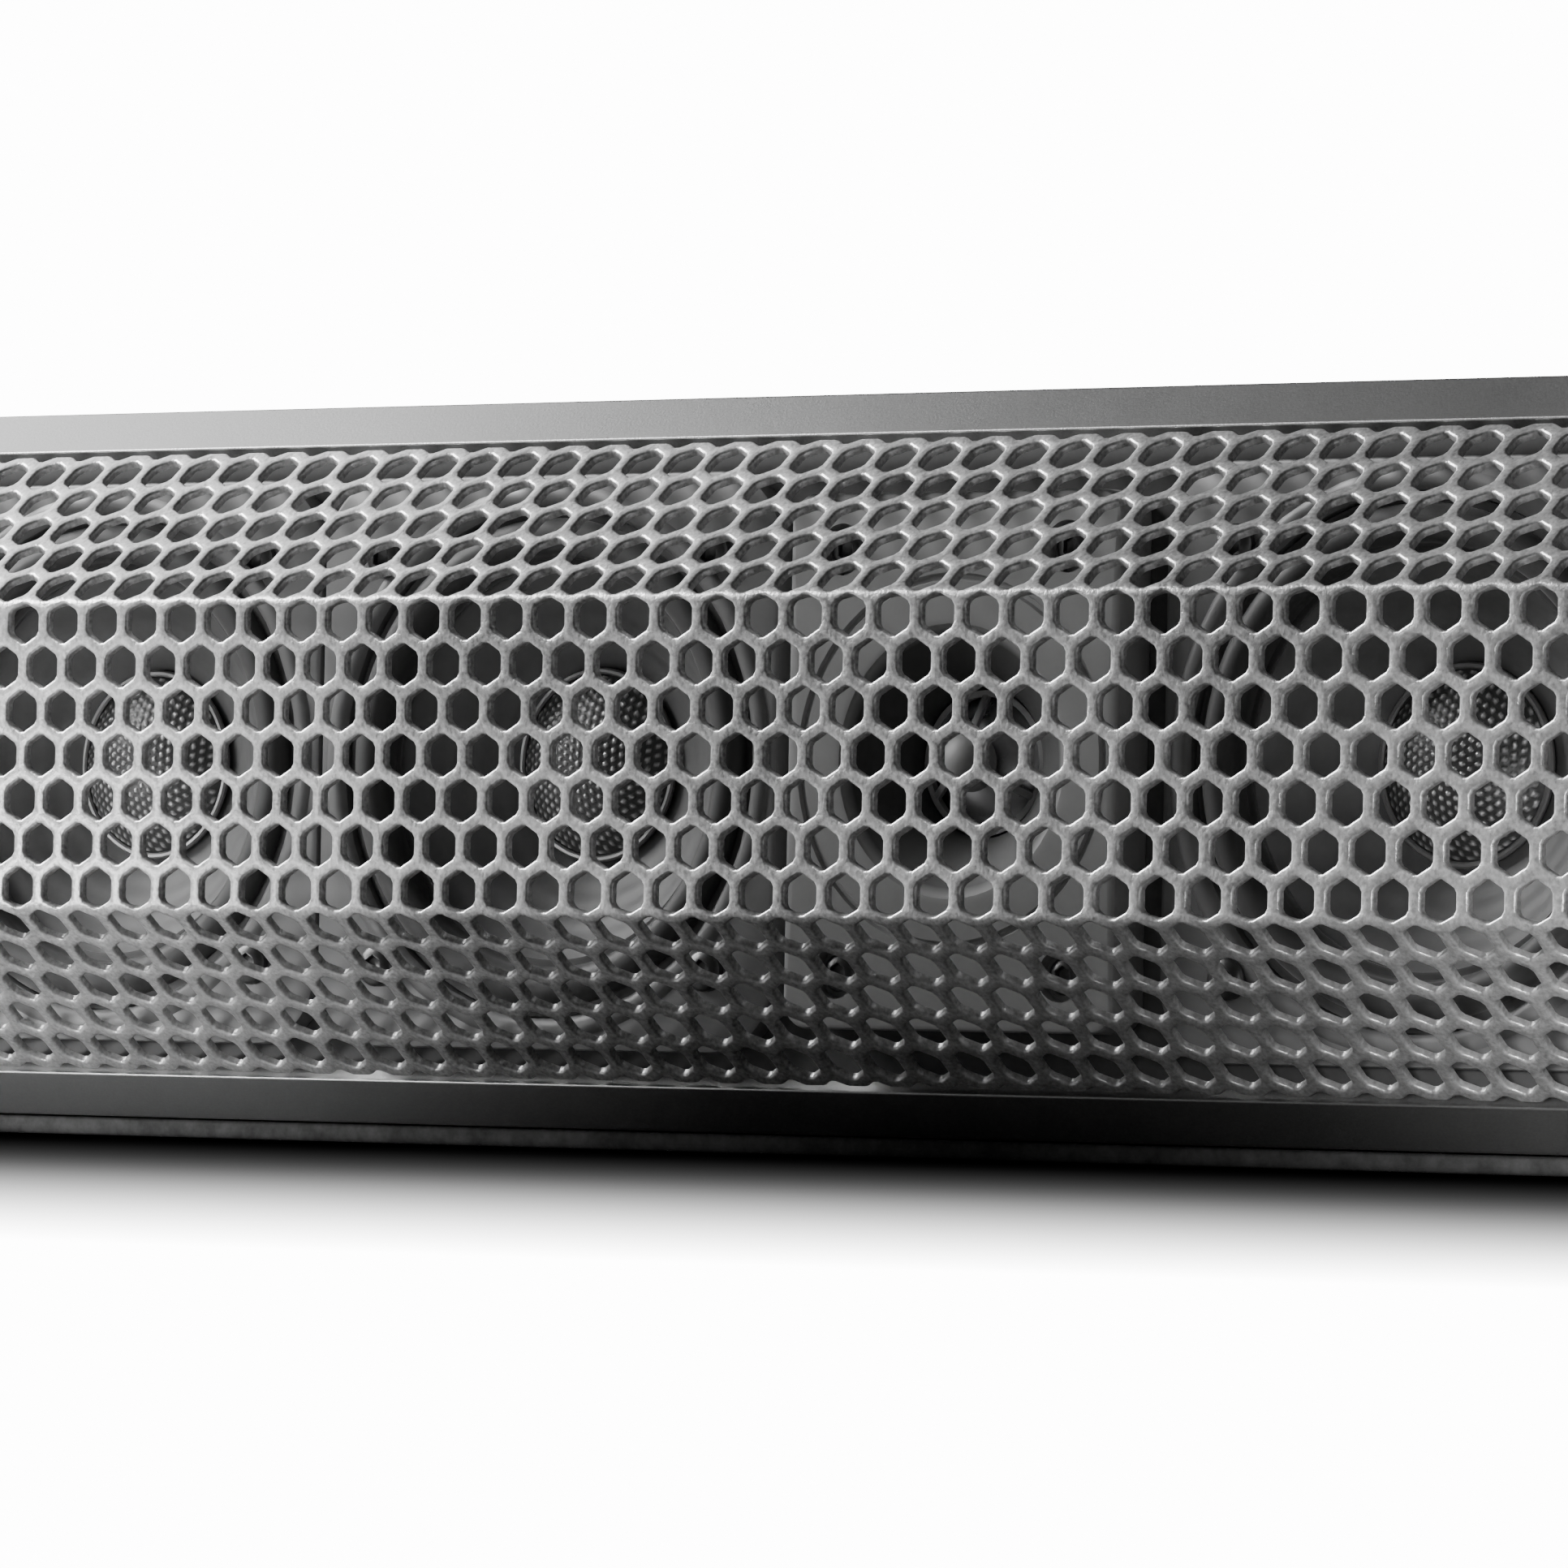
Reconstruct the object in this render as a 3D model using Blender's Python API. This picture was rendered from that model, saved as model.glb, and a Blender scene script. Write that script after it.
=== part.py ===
"""A soundbar: a folded grille, a channel housing, six woofers, one tweeter and the electronics.

The model hangs on one empty whose origin is the middle of the grille's flat front.
Locally X runs along the bar, Y is the distance behind the front and Z is the height
above the bar's middle. The bar faces -Y and stands on its feet at world Z = 0.
"""
import math

import bmesh
import bpy
from mathutils import Matrix, Vector

MM = 0.001

# Driving dimensions, in millimetres.
LENGTH = 600.0
DEPTH = 95.0
HALF_HEIGHT = 53.2
FOOT_HEIGHT = 3.0
GAP = 0.3
WALL = 2.5
BACK_WALL = 3.0
END_CAP = 4.7

HOLE_PITCH = 7.5
FRONT_ROWS = 7
FOLD_HEIGHT = FRONT_ROWS / 2 * HOLE_PITCH * math.sin(math.radians(60))
SLOPE = math.radians(52.5)
SHEET = 1.2
FACET = 38.2
LIP_START = 39.7
BACK_CORNER = 5.0

WOOFER_PLACES = (-243.0, -159.0, -75.0, 75.0, 159.0, 243.0)
FRAME_HALF = 41.8
FRAME_CORNER = 11.0
FRAME_FACE = 29.2
FRAME_BACK = 32.4
FRAME_OPENING = 37.3
CAGE_BACK = 53.0
CONE_RIM = 29.6
ROLL_MIDDLE = 32.85
ROLL_WIDTH = 2.75
ROLL_RISE = 2.6
LEDGE_WIDTH = 2.1
LEDGE_DEPTH = FRAME_FACE + 2.4
CAGE_RADIUS = 24.0
CAGE_OPENING = 15.5
CAGE_SHEET = 3.0
WINDOW_HALF = 8.0
SEAT = FRAME_FACE + 1.3
SURROUND_SHEET = 0.7
CONE_FRONT = 31.0
CONE_WAIST = (22.0, 36.2)
CONE_NECK = 44.0
CONE_SHEET = 0.8
COIL_END = 60.0
COIL_INNER = 12.3
COIL_OUTER = 13.0
DOME_RADIUS = 14.2
DOME_RISE = 5.2
DOME_BASE = 42.2
DOME_SHEET = 0.6
MOTOR_RADIUS = 27.0
MOTOR_BACK = 70.0
MOTOR_GAP = (11.2, 14.6, 66.0)
POLE_FRONT = 52.0

BAFFLE_FACE = FRAME_BACK + GAP
BAFFLE_BACK = 38.2
BAFFLE_HALF = 44.4
WOOFER_HOLE = 40.0
TWEETER_HOLE = 25.0

TWEETER_FACE = 25.0
TWEETER_HALF_WIDTH = 28.5
TWEETER_HALF_HEIGHT = 38.0
TWEETER_CORNER = 4.0
MOUTH_RADIUS = 19.0
THROAT_RADIUS = 10.6
THROAT_BACK = 37.5
TWEETER_DOME = 9.8
TWEETER_DOME_BASE = 36.0
TWEETER_DOME_RISE = 4.6
TWEETER_DOME_SHEET = 0.5
TWEETER_SKIRT = 5.0
TWEETER_MOTOR_RADIUS = 21.0
TWEETER_MOTOR_BACK = 52.0
TWEETER_GAP = (8.6, 10.6, 44.0)
PLUG_RADIUS = 4.2
PLUG_RING = THROAT_RADIUS - GAP

DIVIDER_PLACES = (-201.0, 201.0)
DIVIDER_THICKNESS = 3.0
HARNESS_DEPTH = 62.0
HARNESS_HEIGHT = -45.0
HARNESS_RADIUS = 1.6

BOARD_DEPTH = 76.0
BOARD_THICKNESS = 1.6
BOARD_HALF_HEIGHT = 40.0
BOARD_SPANS = (("power_board", -195.0, -78.0), ("amplifier_board", 78.0, 195.0))
TRANSFORMER_LOW = (-150.0, -16.0)
TRANSFORMER_HIGH = (-112.0, 18.0)
TRANSFORMER_BACK = 90.0
CAPACITOR_PLACE = (-95.0, -12.0)
CAPACITOR_RADIUS = 6.0
CAPACITOR_HEIGHT = 24.0
SINK_PLACE = 136.0
SINK_HALF_HEIGHT = 28.0
SINK_TIP = 89.5
SINK_BASE = 2.5
FINS = 9
FIN_PITCH = 8.0
FIN_THICKNESS = 2.0
CONTROL_BOARD_HALF = (34.0, 9.0)

PANEL_OPENING = (65.0, 21.0)
PANEL_HALF = (69.0, 25.0)
PANEL_THICKNESS = 3.0
PANEL_FACE = DEPTH - BACK_WALL - GAP
INLET_PLACE = 42.0
ROCKER_PLACE = 14.0
DIGITAL_PLACE = -18.0
LINE_PLACE = -42.0
INLET_HALF = (12.0, 8.0)
INLET_POCKET = (9.0, 5.2)
INLET_POCKET_DEPTH = 15.0
PIN_PLACE = 4.3
PIN_RADIUS = 1.3
PIN_LENGTH = 9.5
DIGITAL_HALF = (6.5, 6.0)
DIGITAL_POCKET = (4.6, 4.2)
DIGITAL_POCKET_DEPTH = 8.0
JACK_RADIUS = 4.4
JACK_BORE = 1.8
ROCKER_HALF = (7.0, 4.8)
ROCKER_TILT = math.radians(8)

KEY_PLACES = (-22.0, 0.0, 22.0)
KEY_DEPTH = 68.0
KEY_HALF = (7.0, 4.5)
KEY_RISE = 0.8

FOOT_DEPTHS = (("foot_front", 49.5), ("foot_back", 85.0))
FOOT_HALF_LENGTH = 282.0
FOOT_HALF_WIDTH = 4.5

ROUND_STEPS = 20
CORNER_STEPS = ROUND_STEPS // 4


def clear_scene():
    for thing in list(bpy.data.objects):
        bpy.data.objects.remove(thing, do_unlink=True)


def make_material(name, colour, roughness, metallic):
    material = bpy.data.materials.new(name)
    material.use_nodes = True
    shader = material.node_tree.nodes["Principled BSDF"]
    shader.inputs["Base Color"].default_value = (*colour, 1.0)
    shader.inputs["Roughness"].default_value = roughness
    shader.inputs["Metallic"].default_value = metallic
    return material


def mesh_from(name, form, smooth=False):
    """Turns a bmesh in millimetres into a mesh in metres with its faces out."""
    bmesh.ops.recalc_face_normals(form, faces=form.faces)
    bmesh.ops.scale(form, vec=(MM, MM, MM), verts=form.verts)
    mesh = bpy.data.meshes.new(name)
    form.to_mesh(mesh)
    form.free()
    if smooth:
        mesh.shade_smooth()
        mesh.set_sharp_from_angle(angle=math.radians(35))
    return mesh


def place(name, mesh, material, parent, location=(0.0, 0.0, 0.0)):
    """Hangs a mesh on the bar's empty at a place given in millimetres."""
    thing = bpy.data.objects.new(name, mesh)
    bpy.context.collection.objects.link(thing)
    if not mesh.materials:
        mesh.materials.append(material)
    thing.parent = parent
    thing.location = Vector(location) * MM
    return thing


def prism(outline, start, end):
    """Carries a closed outline of (depth, height) points along X."""
    form = bmesh.new()
    corners = [form.verts.new((start, depth, height)) for depth, height in outline]
    face = form.faces.new(corners)
    grown = bmesh.ops.extrude_face_region(form, geom=[face])
    moved = [part for part in grown["geom"] if isinstance(part, bmesh.types.BMVert)]
    bmesh.ops.translate(form, vec=(end - start, 0, 0), verts=moved)
    return form


def block(low, high):
    """A box between two corners."""
    form = bmesh.new()
    bmesh.ops.create_cube(form, size=1)
    size = Vector(high) - Vector(low)
    bmesh.ops.scale(form, vec=size, verts=form.verts)
    bmesh.ops.translate(form, vec=(Vector(high) + Vector(low)) / 2, verts=form.verts)
    return form


def turned(profile, steps=ROUND_STEPS):
    """Spins a closed profile of (radius, depth) points about the Y axis, from half a step on."""
    form = bmesh.new()
    first = math.pi / steps
    points = [
        form.verts.new((radius * math.cos(first), depth, radius * math.sin(first)))
        for radius, depth in profile
    ]
    edges = [form.edges.new((points[i - 1], points[i])) for i in range(len(points))]
    bmesh.ops.spin(
        form,
        geom=points + edges,
        cent=(0, 0, 0),
        axis=(0, 1, 0),
        angle=2 * math.pi,
        steps=steps,
    )
    bmesh.ops.remove_doubles(form, verts=form.verts, dist=0.01)
    flat = [edge for edge in form.edges if not edge.link_faces]
    bmesh.ops.delete(form, geom=flat, context="EDGES")
    return form


def round_loop(radius, depth):
    """A ring of points whose angles match those of box_loop."""
    step = math.tau / ROUND_STEPS
    angles = [(i + 0.5) * step for i in range(ROUND_STEPS)]
    return [(radius * math.cos(a), depth, radius * math.sin(a)) for a in angles]


def box_loop(half_width, half_height, corner, depth):
    """A rounded rectangle with as many points as round_loop, an arc at each corner."""
    points = []
    for side_x, side_z, first in ((1, 1, 0), (-1, 1, 90), (-1, -1, 180), (1, -1, 270)):
        for i in range(CORNER_STEPS):
            angle = math.radians(first + 90 * i / (CORNER_STEPS - 1))
            across = side_x * (half_width - corner) + corner * math.cos(angle)
            up = side_z * (half_height - corner) + corner * math.sin(angle)
            points.append((across, depth, up))
    return points


def level_loop(half_width, half_depth, corner, height):
    """A rounded rectangle that lies level."""
    flat = box_loop(half_width, half_depth, corner, 0)
    return [(across, -depth, height) for across, _, depth in flat]


def lofted(loops):
    """Joins each loop to the next and the last to the first, as a closed ring."""
    form = bmesh.new()
    rings = [[form.verts.new(point) for point in loop] for loop in loops]
    for i, ring in enumerate(rings):
        last = rings[i - 1]
        for k in range(len(ring)):
            form.faces.new((last[k - 1], last[k], ring[k], ring[k - 1]))
    return form


def capped_loft(loops):
    """Joins each loop to the next and closes both ends with a flat face."""
    form = bmesh.new()
    rings = [[form.verts.new(point) for point in loop] for loop in loops]
    for last, ring in zip(rings, rings[1:]):
        for k in range(len(ring)):
            form.faces.new((last[k - 1], last[k], ring[k], ring[k - 1]))
    form.faces.new(rings[0])
    form.faces.new(rings[-1])
    return form


def add_cutter(name, form, parent, location=(0.0, 0.0, 0.0)):
    cutter = place(name, mesh_from(name, form), None, parent, location)
    cutter.hide_render = True
    cutter.display_type = "WIRE"
    return cutter


def combine(thing, other, operation):
    change = thing.modifiers.new(operation.title(), "BOOLEAN")
    change.operation = operation
    change.object = other
    change.solver = "EXACT"


def add_bevel(thing, width, segments=2):
    bevel = thing.modifiers.new("Bevel", "BEVEL")
    bevel.width = width * MM
    bevel.segments = segments
    bevel.limit_method = "ANGLE"
    bevel.angle_limit = math.radians(40)


def arc(middle, radius, first, last, steps):
    """Points of an arc about a (depth, height) middle, with angles in degrees."""
    turns = [math.radians(first + (last - first) * i / steps) for i in range(steps + 1)]
    return [(middle[0] + radius * math.cos(t), middle[1] + radius * math.sin(t)) for t in turns]


def facet_point(along, inward):
    """A point on the upper facet: the distance from the fold and the depth under its face."""
    depth = along * math.sin(SLOPE) + inward * math.cos(SLOPE)
    height = FOLD_HEIGHT + along * math.cos(SLOPE) - inward * math.sin(SLOPE)
    return depth, height


def mirrored(upper):
    """The upper half of an outline followed by its mirror image below."""
    return upper + [(depth, -height) for depth, height in reversed(upper)]


def make_grille(bar, material):
    """One sheet folded twice, so that a flat front meets two sloping facets."""
    fold = SHEET * math.tan(SLOPE / 2)
    outside = mirrored([facet_point(FACET, 0), facet_point(0, 0)])
    inside = mirrored([facet_point(FACET, SHEET), (SHEET, FOLD_HEIGHT - fold)])
    outline = outside + list(reversed(inside))
    end = LENGTH / 2 - END_CAP - 2 * GAP
    return place("grille", mesh_from("grille", prism(outline, -end, end)), material, bar)


def lip_slope_end():
    """Where the sloping lip reaches the housing's full height, as a distance from the fold."""
    return (HALF_HEIGHT - FOLD_HEIGHT) / math.cos(SLOPE)


def make_housing(bar, material):
    """A channel of top, back and bottom walls with a sloping lip along each front edge."""
    rim = lip_slope_end()
    inner_height = HALF_HEIGHT - WALL
    inner_rim = (inner_height - FOLD_HEIGHT + WALL * math.sin(SLOPE)) / math.cos(SLOPE)
    back = arc((DEPTH - BACK_CORNER, HALF_HEIGHT - BACK_CORNER), BACK_CORNER, 90, 0, 4)
    outside = [facet_point(LIP_START, 0), facet_point(rim, 0)] + back
    inner_back = DEPTH - BACK_WALL
    inside = [facet_point(LIP_START, WALL), facet_point(inner_rim, WALL)]
    inside.append((inner_back, inner_height))
    outline = mirrored(outside) + list(reversed(mirrored(inside)))
    end = LENGTH / 2 - END_CAP - GAP
    housing = place("housing", mesh_from("housing", prism(outline, -end, end)), material, bar)
    width, height = PANEL_OPENING
    panel_hole = block((-width, inner_back - 1, -height), (width, DEPTH + 1, height))
    combine(housing, add_cutter("cut_panel", panel_hole, bar), "DIFFERENCE")
    for number, across in enumerate(KEY_PLACES, 1):
        half_x = KEY_HALF[0] + 0.4
        half_y = KEY_HALF[1] + 0.4
        low = (across - half_x, KEY_DEPTH - half_y, inner_height - 1)
        high = (across + half_x, KEY_DEPTH + half_y, HALF_HEIGHT + 1)
        cutter = add_cutter(f"cut_key_{number}", block(low, high), bar)
        combine(housing, cutter, "DIFFERENCE")
    return housing


def make_end_caps(bar, material):
    """A plate with the outline of the whole section closes each end."""
    rim = lip_slope_end()
    back = arc((DEPTH - BACK_CORNER, HALF_HEIGHT - BACK_CORNER), BACK_CORNER, 90, 0, 4)
    outline = mirrored(list(reversed([facet_point(0, 0), facet_point(rim, 0)] + back)))
    for name, side in (("end_cap_left", -1), ("end_cap_right", 1)):
        outer = side * LENGTH / 2
        inner = outer - side * END_CAP
        cap = place(name, mesh_from(name, prism(outline, inner, outer)), material, bar)
        add_bevel(cap, 0.8)


def make_baffle(bar, material):
    """The board that carries the drivers, with a round hole for each of them."""
    end = LENGTH / 2 - END_CAP - 2 * GAP
    form = block((-end, BAFFLE_FACE, -BAFFLE_HALF), (end, BAFFLE_BACK, BAFFLE_HALF))
    baffle = place("baffle", mesh_from("baffle", form), material, bar)
    holes = [(place_x, WOOFER_HOLE) for place_x in WOOFER_PLACES] + [(0.0, TWEETER_HOLE)]
    front = BAFFLE_FACE - 1
    back = BAFFLE_BACK + 1
    for number, (across, radius) in enumerate(holes, 1):
        form = turned([(0, front), (radius, front), (radius, back), (0, back)])
        cutter = add_cutter(f"cut_baffle_{number}", form, bar, (across, 0, 0))
        combine(baffle, cutter, "DIFFERENCE")
    return baffle


def basket_mesh():
    """A square flange, a ledge for the surround and a tapering cage with six windows."""
    ledge = FRAME_OPENING - LEDGE_WIDTH
    loops = [
        round_loop(FRAME_OPENING, FRAME_FACE),
        box_loop(FRAME_HALF, FRAME_HALF, FRAME_CORNER, FRAME_FACE),
        box_loop(FRAME_HALF, FRAME_HALF, FRAME_CORNER, FRAME_BACK),
        round_loop(FRAME_OPENING + 1.2, FRAME_BACK),
        round_loop(CAGE_RADIUS, CAGE_BACK - CAGE_SHEET),
        round_loop(CAGE_RADIUS, CAGE_BACK),
        round_loop(CAGE_OPENING, CAGE_BACK),
        round_loop(CAGE_OPENING, CAGE_BACK - CAGE_SHEET),
        round_loop(CAGE_RADIUS - 2.4, CAGE_BACK - CAGE_SHEET - 0.4),
        round_loop(ledge, LEDGE_DEPTH + 2.4),
        round_loop(ledge, LEDGE_DEPTH),
        round_loop(FRAME_OPENING, LEDGE_DEPTH),
    ]
    basket = place("basket_form", mesh_from("basket_form", lofted(loops)), None, None)
    cutters = []
    for turn in (0, 60, 120):
        front, back = FRAME_BACK + 5, CAGE_BACK - 2 * CAGE_SHEET
        form = block((-FRAME_HALF, front, -WINDOW_HALF), (FRAME_HALF, back, WINDOW_HALF))
        bmesh.ops.rotate(form, cent=(0, 0, 0), matrix=Matrix.Rotation(math.radians(turn), 3, "Y"),
                         verts=form.verts)
        cutters.append(add_cutter(f"cut_window_{turn}", form, None))
        combine(basket, cutters[-1], "DIFFERENCE")
    bpy.context.view_layer.update()
    ready = basket.evaluated_get(bpy.context.evaluated_depsgraph_get())
    mesh = bpy.data.meshes.new_from_object(ready)
    for thing in [basket] + cutters:
        bpy.data.objects.remove(thing, do_unlink=True)
    return mesh


def surround_mesh():
    """A thin half roll between the cone's rim and the basket's ledge."""
    steps = 4
    outer = FRAME_OPENING - GAP
    front = [(outer, SEAT)]
    behind = [(outer, SEAT + SURROUND_SHEET)]
    for i in range(steps + 1):
        angle = math.pi * i / steps
        sideways = math.cos(angle)
        forward = math.sin(angle)
        front.append((ROLL_MIDDLE + ROLL_WIDTH * sideways, SEAT - ROLL_RISE * forward))
        behind.append((
            ROLL_MIDDLE + (ROLL_WIDTH - SURROUND_SHEET * forward) * sideways,
            SEAT + SURROUND_SHEET - ROLL_RISE * forward,
        ))
    rim = CONE_RIM + GAP
    front.append((rim, SEAT))
    behind.append((rim, SEAT + SURROUND_SHEET))
    return mesh_from("surround", turned(front + list(reversed(behind))), smooth=True)


def cone_mesh():
    """A shallow cone on the tube that carries the voice coil."""
    waist_radius, waist_depth = CONE_WAIST
    profile = [
        (CONE_RIM, CONE_FRONT),
        CONE_WAIST,
        (COIL_INNER, CONE_NECK),
        (COIL_INNER, COIL_END),
        (COIL_OUTER, COIL_END),
        (COIL_OUTER, CONE_NECK + CONE_SHEET),
        (waist_radius, waist_depth + CONE_SHEET * 1.3),
        (CONE_RIM, CONE_FRONT + CONE_SHEET),
    ]
    return mesh_from("cone", turned(profile), smooth=True)


def dome_profile(radius, base, rise, thickness, skirt):
    """A spherical cap as a thin shell, with a straight skirt behind it where one is given."""
    ball = (radius ** 2 + rise ** 2) / (2 * rise)
    widest = math.asin(radius / ball)
    steps = 3
    front = []
    behind = []
    for i in range(steps + 1):
        angle = widest * i / steps
        front.append((ball * math.sin(angle), base - rise + ball * (1 - math.cos(angle))))
        inner = ball - thickness
        behind.append((inner * math.sin(angle), base - rise + thickness + inner * (1 - math.cos(angle))))
    if skirt:
        front.append((radius, base + skirt))
        behind.append((behind[-1][0], base + skirt))
    return front + list(reversed(behind))


def motor_mesh(radius, front, back, gap, pole_front):
    """A magnet and its pole piece, with a ring-shaped slot for the coil."""
    gap_inner, gap_outer, gap_depth = gap
    profile = [
        (0, pole_front),
        (gap_inner, pole_front),
        (gap_inner, gap_depth),
        (gap_outer, gap_depth),
        (gap_outer, front),
        (radius, front),
        (radius, back),
        (0, back),
    ]
    return mesh_from("motor", turned(profile), smooth=True)


def make_woofers(bar, materials):
    """Each woofer is a basket, a surround, a cone, a dust dome and a motor on one axis."""
    profile = dome_profile(DOME_RADIUS, DOME_BASE, DOME_RISE, DOME_SHEET, 0.0)
    dome = mesh_from("dust_dome", turned(profile), smooth=True)
    motor = motor_mesh(MOTOR_RADIUS, CAGE_BACK + GAP, MOTOR_BACK, MOTOR_GAP, POLE_FRONT)
    pieces = {
        "basket": basket_mesh(),
        "surround": surround_mesh(),
        "cone": cone_mesh(),
        "dust_dome": dome,
        "woofer_motor": motor,
    }
    for number, across in enumerate(WOOFER_PLACES, 1):
        for piece, mesh in pieces.items():
            place(f"{piece}_{number}", mesh, materials[piece], bar, (across, 0, 0))


def make_tweeter(bar, materials):
    """A raised plate whose middle sinks into a round mouth, a small dome and its motor."""
    half_size = (TWEETER_HALF_WIDTH, TWEETER_HALF_HEIGHT, TWEETER_CORNER)
    horn = TWEETER_HOLE - 1.0
    loops = [
        box_loop(*half_size, TWEETER_FACE),
        box_loop(*half_size, FRAME_BACK),
        round_loop(horn, FRAME_BACK),
        round_loop(horn, THROAT_BACK - 2),
        round_loop(THROAT_RADIUS + 3, THROAT_BACK),
        round_loop(THROAT_RADIUS, THROAT_BACK),
        round_loop(THROAT_RADIUS, 33.5),
        round_loop(THROAT_RADIUS + 2.2, 29.5),
        round_loop(THROAT_RADIUS + 5.2, 26.6),
        round_loop(MOUTH_RADIUS, TWEETER_FACE + 0.3),
        round_loop(MOUTH_RADIUS + 0.8, TWEETER_FACE),
    ]
    plate = mesh_from("tweeter_plate", lofted(loops), smooth=True)
    place("tweeter_plate", plate, materials["tweeter_plate"], bar)
    profile = dome_profile(
        TWEETER_DOME, TWEETER_DOME_BASE, TWEETER_DOME_RISE, TWEETER_DOME_SHEET, TWEETER_SKIRT
    )
    dome = mesh_from("tweeter_dome", turned(profile), smooth=True)
    place("tweeter_dome", dome, materials["tweeter_dome"], bar)
    make_phase_plug(bar, materials["phase_plug"])
    front = THROAT_BACK + GAP
    motor = motor_mesh(TWEETER_MOTOR_RADIUS, front, TWEETER_MOTOR_BACK, TWEETER_GAP, front)
    place("tweeter_motor", motor, materials["woofer_motor"], bar)


def make_phase_plug(bar, material):
    """A bullet in front of the dome, held by three slanted ribs in a ring round the throat."""
    apex = TWEETER_DOME_BASE - TWEETER_DOME_RISE
    ring_front = 33.4
    ring = [(PLUG_RING - 0.9, ring_front), (PLUG_RING, ring_front)]
    ring += [(PLUG_RING, ring_front + 1.2), (PLUG_RING - 0.9, ring_front + 1.2)]
    plug = place("phase_plug", mesh_from("phase_plug", turned(ring)), material, bar)
    back = apex - 0.9
    bullet = [(0, back - 4.4), (1.6, back - 4.1), (3.2, back - 2.9), (PLUG_RADIUS, back - 1.2)]
    bullet += [(PLUG_RADIUS, back), (0, back)]
    combine(plug, add_cutter("plug_bullet", turned(bullet), bar), "UNION")
    reach = PLUG_RING - PLUG_RADIUS + 0.8
    fall = ring_front + 0.6 - (back - 0.7)
    lean = Matrix.Rotation(-math.atan2(fall, reach), 3, "Z")
    for turn in (90, 210, 330):
        rib = block((-0.6, -0.45, -0.6), (math.hypot(reach, fall) - 0.6, 0.45, 0.6))
        bmesh.ops.rotate(rib, cent=(0, 0, 0), matrix=lean.inverted(), verts=rib.verts)
        bmesh.ops.translate(rib, vec=(PLUG_RADIUS - 0.8, back - 0.7, 0), verts=rib.verts)
        spin = Matrix.Rotation(math.radians(turn), 3, "Y")
        bmesh.ops.rotate(rib, cent=(0, 0, 0), matrix=spin, verts=rib.verts)
        combine(plug, add_cutter(f"plug_rib_{turn}", rib, bar), "UNION")


def make_dividers(bar, material):
    """Two walls part the outer woofers' chambers, each with a notch for the wires."""
    front = BAFFLE_BACK + GAP
    back = DEPTH - BACK_WALL - GAP
    top = HALF_HEIGHT - WALL - GAP
    corner = 40.8
    notch = 5.0
    lower = HARNESS_HEIGHT + notch
    outline = [
        (front, BAFFLE_HALF),
        (corner, top),
        (back, top),
        (back, -top),
        (HARNESS_DEPTH + notch, -top),
        (HARNESS_DEPTH + notch, lower),
        (HARNESS_DEPTH - notch, lower),
        (HARNESS_DEPTH - notch, -top),
        (corner, -top),
        (front, -BAFFLE_HALF),
    ]
    for name, across in zip(("divider_left", "divider_right"), DIVIDER_PLACES):
        half = DIVIDER_THICKNESS / 2
        mesh = mesh_from(name, prism(outline, across - half, across + half))
        place(name, mesh, material, bar)


def make_harness(bar, material):
    """The speaker wires run along the bottom, past both dividers, as one bundle."""
    reach = 232.0
    count = 9
    path = bpy.data.curves.new("harness", "CURVE")
    path.dimensions = "3D"
    path.bevel_depth = HARNESS_RADIUS * MM
    path.bevel_resolution = 2
    path.use_fill_caps = True
    run = path.splines.new("POLY")
    run.points.add(count - 1)
    for i, point in enumerate(run.points):
        across = reach * (2 * i / (count - 1) - 1)
        sag = 1.2 * math.cos(math.pi * i)
        point.co = (across * MM, HARNESS_DEPTH * MM, (HARNESS_HEIGHT + sag) * MM, 1)
    thing = bpy.data.objects.new("speaker_harness", path)
    bpy.context.collection.objects.link(thing)
    path.materials.append(material)
    thing.parent = bar


def make_electronics(bar, materials):
    """Boards stand behind the inner woofers; their tall parts face the back wall."""
    back = BOARD_DEPTH + BOARD_THICKNESS
    for name, left, right in BOARD_SPANS:
        form = block((left, BOARD_DEPTH, -BOARD_HALF_HEIGHT), (right, back, BOARD_HALF_HEIGHT))
        place(name, mesh_from(name, form), materials["board"], bar)
    left, bottom = TRANSFORMER_LOW
    right, top = TRANSFORMER_HIGH
    form = block((left, back + GAP, bottom), (right, TRANSFORMER_BACK, top))
    core = place("transformer", mesh_from("transformer", form), materials["transformer"], bar)
    add_bevel(core, 1.5)
    radius, tall = CAPACITOR_RADIUS, CAPACITOR_HEIGHT
    can = turned([(0, 0), (radius, 0), (radius, tall), (0, tall)], 24)
    bmesh.ops.rotate(can, cent=(0, 0, 0), matrix=Matrix.Rotation(math.pi / 2, 3, "X"), verts=can.verts)
    mesh = mesh_from("filter_capacitor", can, smooth=True)
    across, height = CAPACITOR_PLACE
    location = (across, back + GAP + radius + 0.2, height)
    place("filter_capacitor", mesh, materials["capacitor"], bar, location)
    make_heat_sink(bar, materials["heat_sink"], back + GAP)
    lower = HALF_HEIGHT - WALL - 6.3
    half_x, half_y = CONTROL_BOARD_HALF
    low = (-half_x, KEY_DEPTH - half_y, lower)
    high = (half_x, KEY_DEPTH + half_y, lower + BOARD_THICKNESS)
    place("control_board", mesh_from("control_board", block(low, high)), materials["board"], bar)


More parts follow.
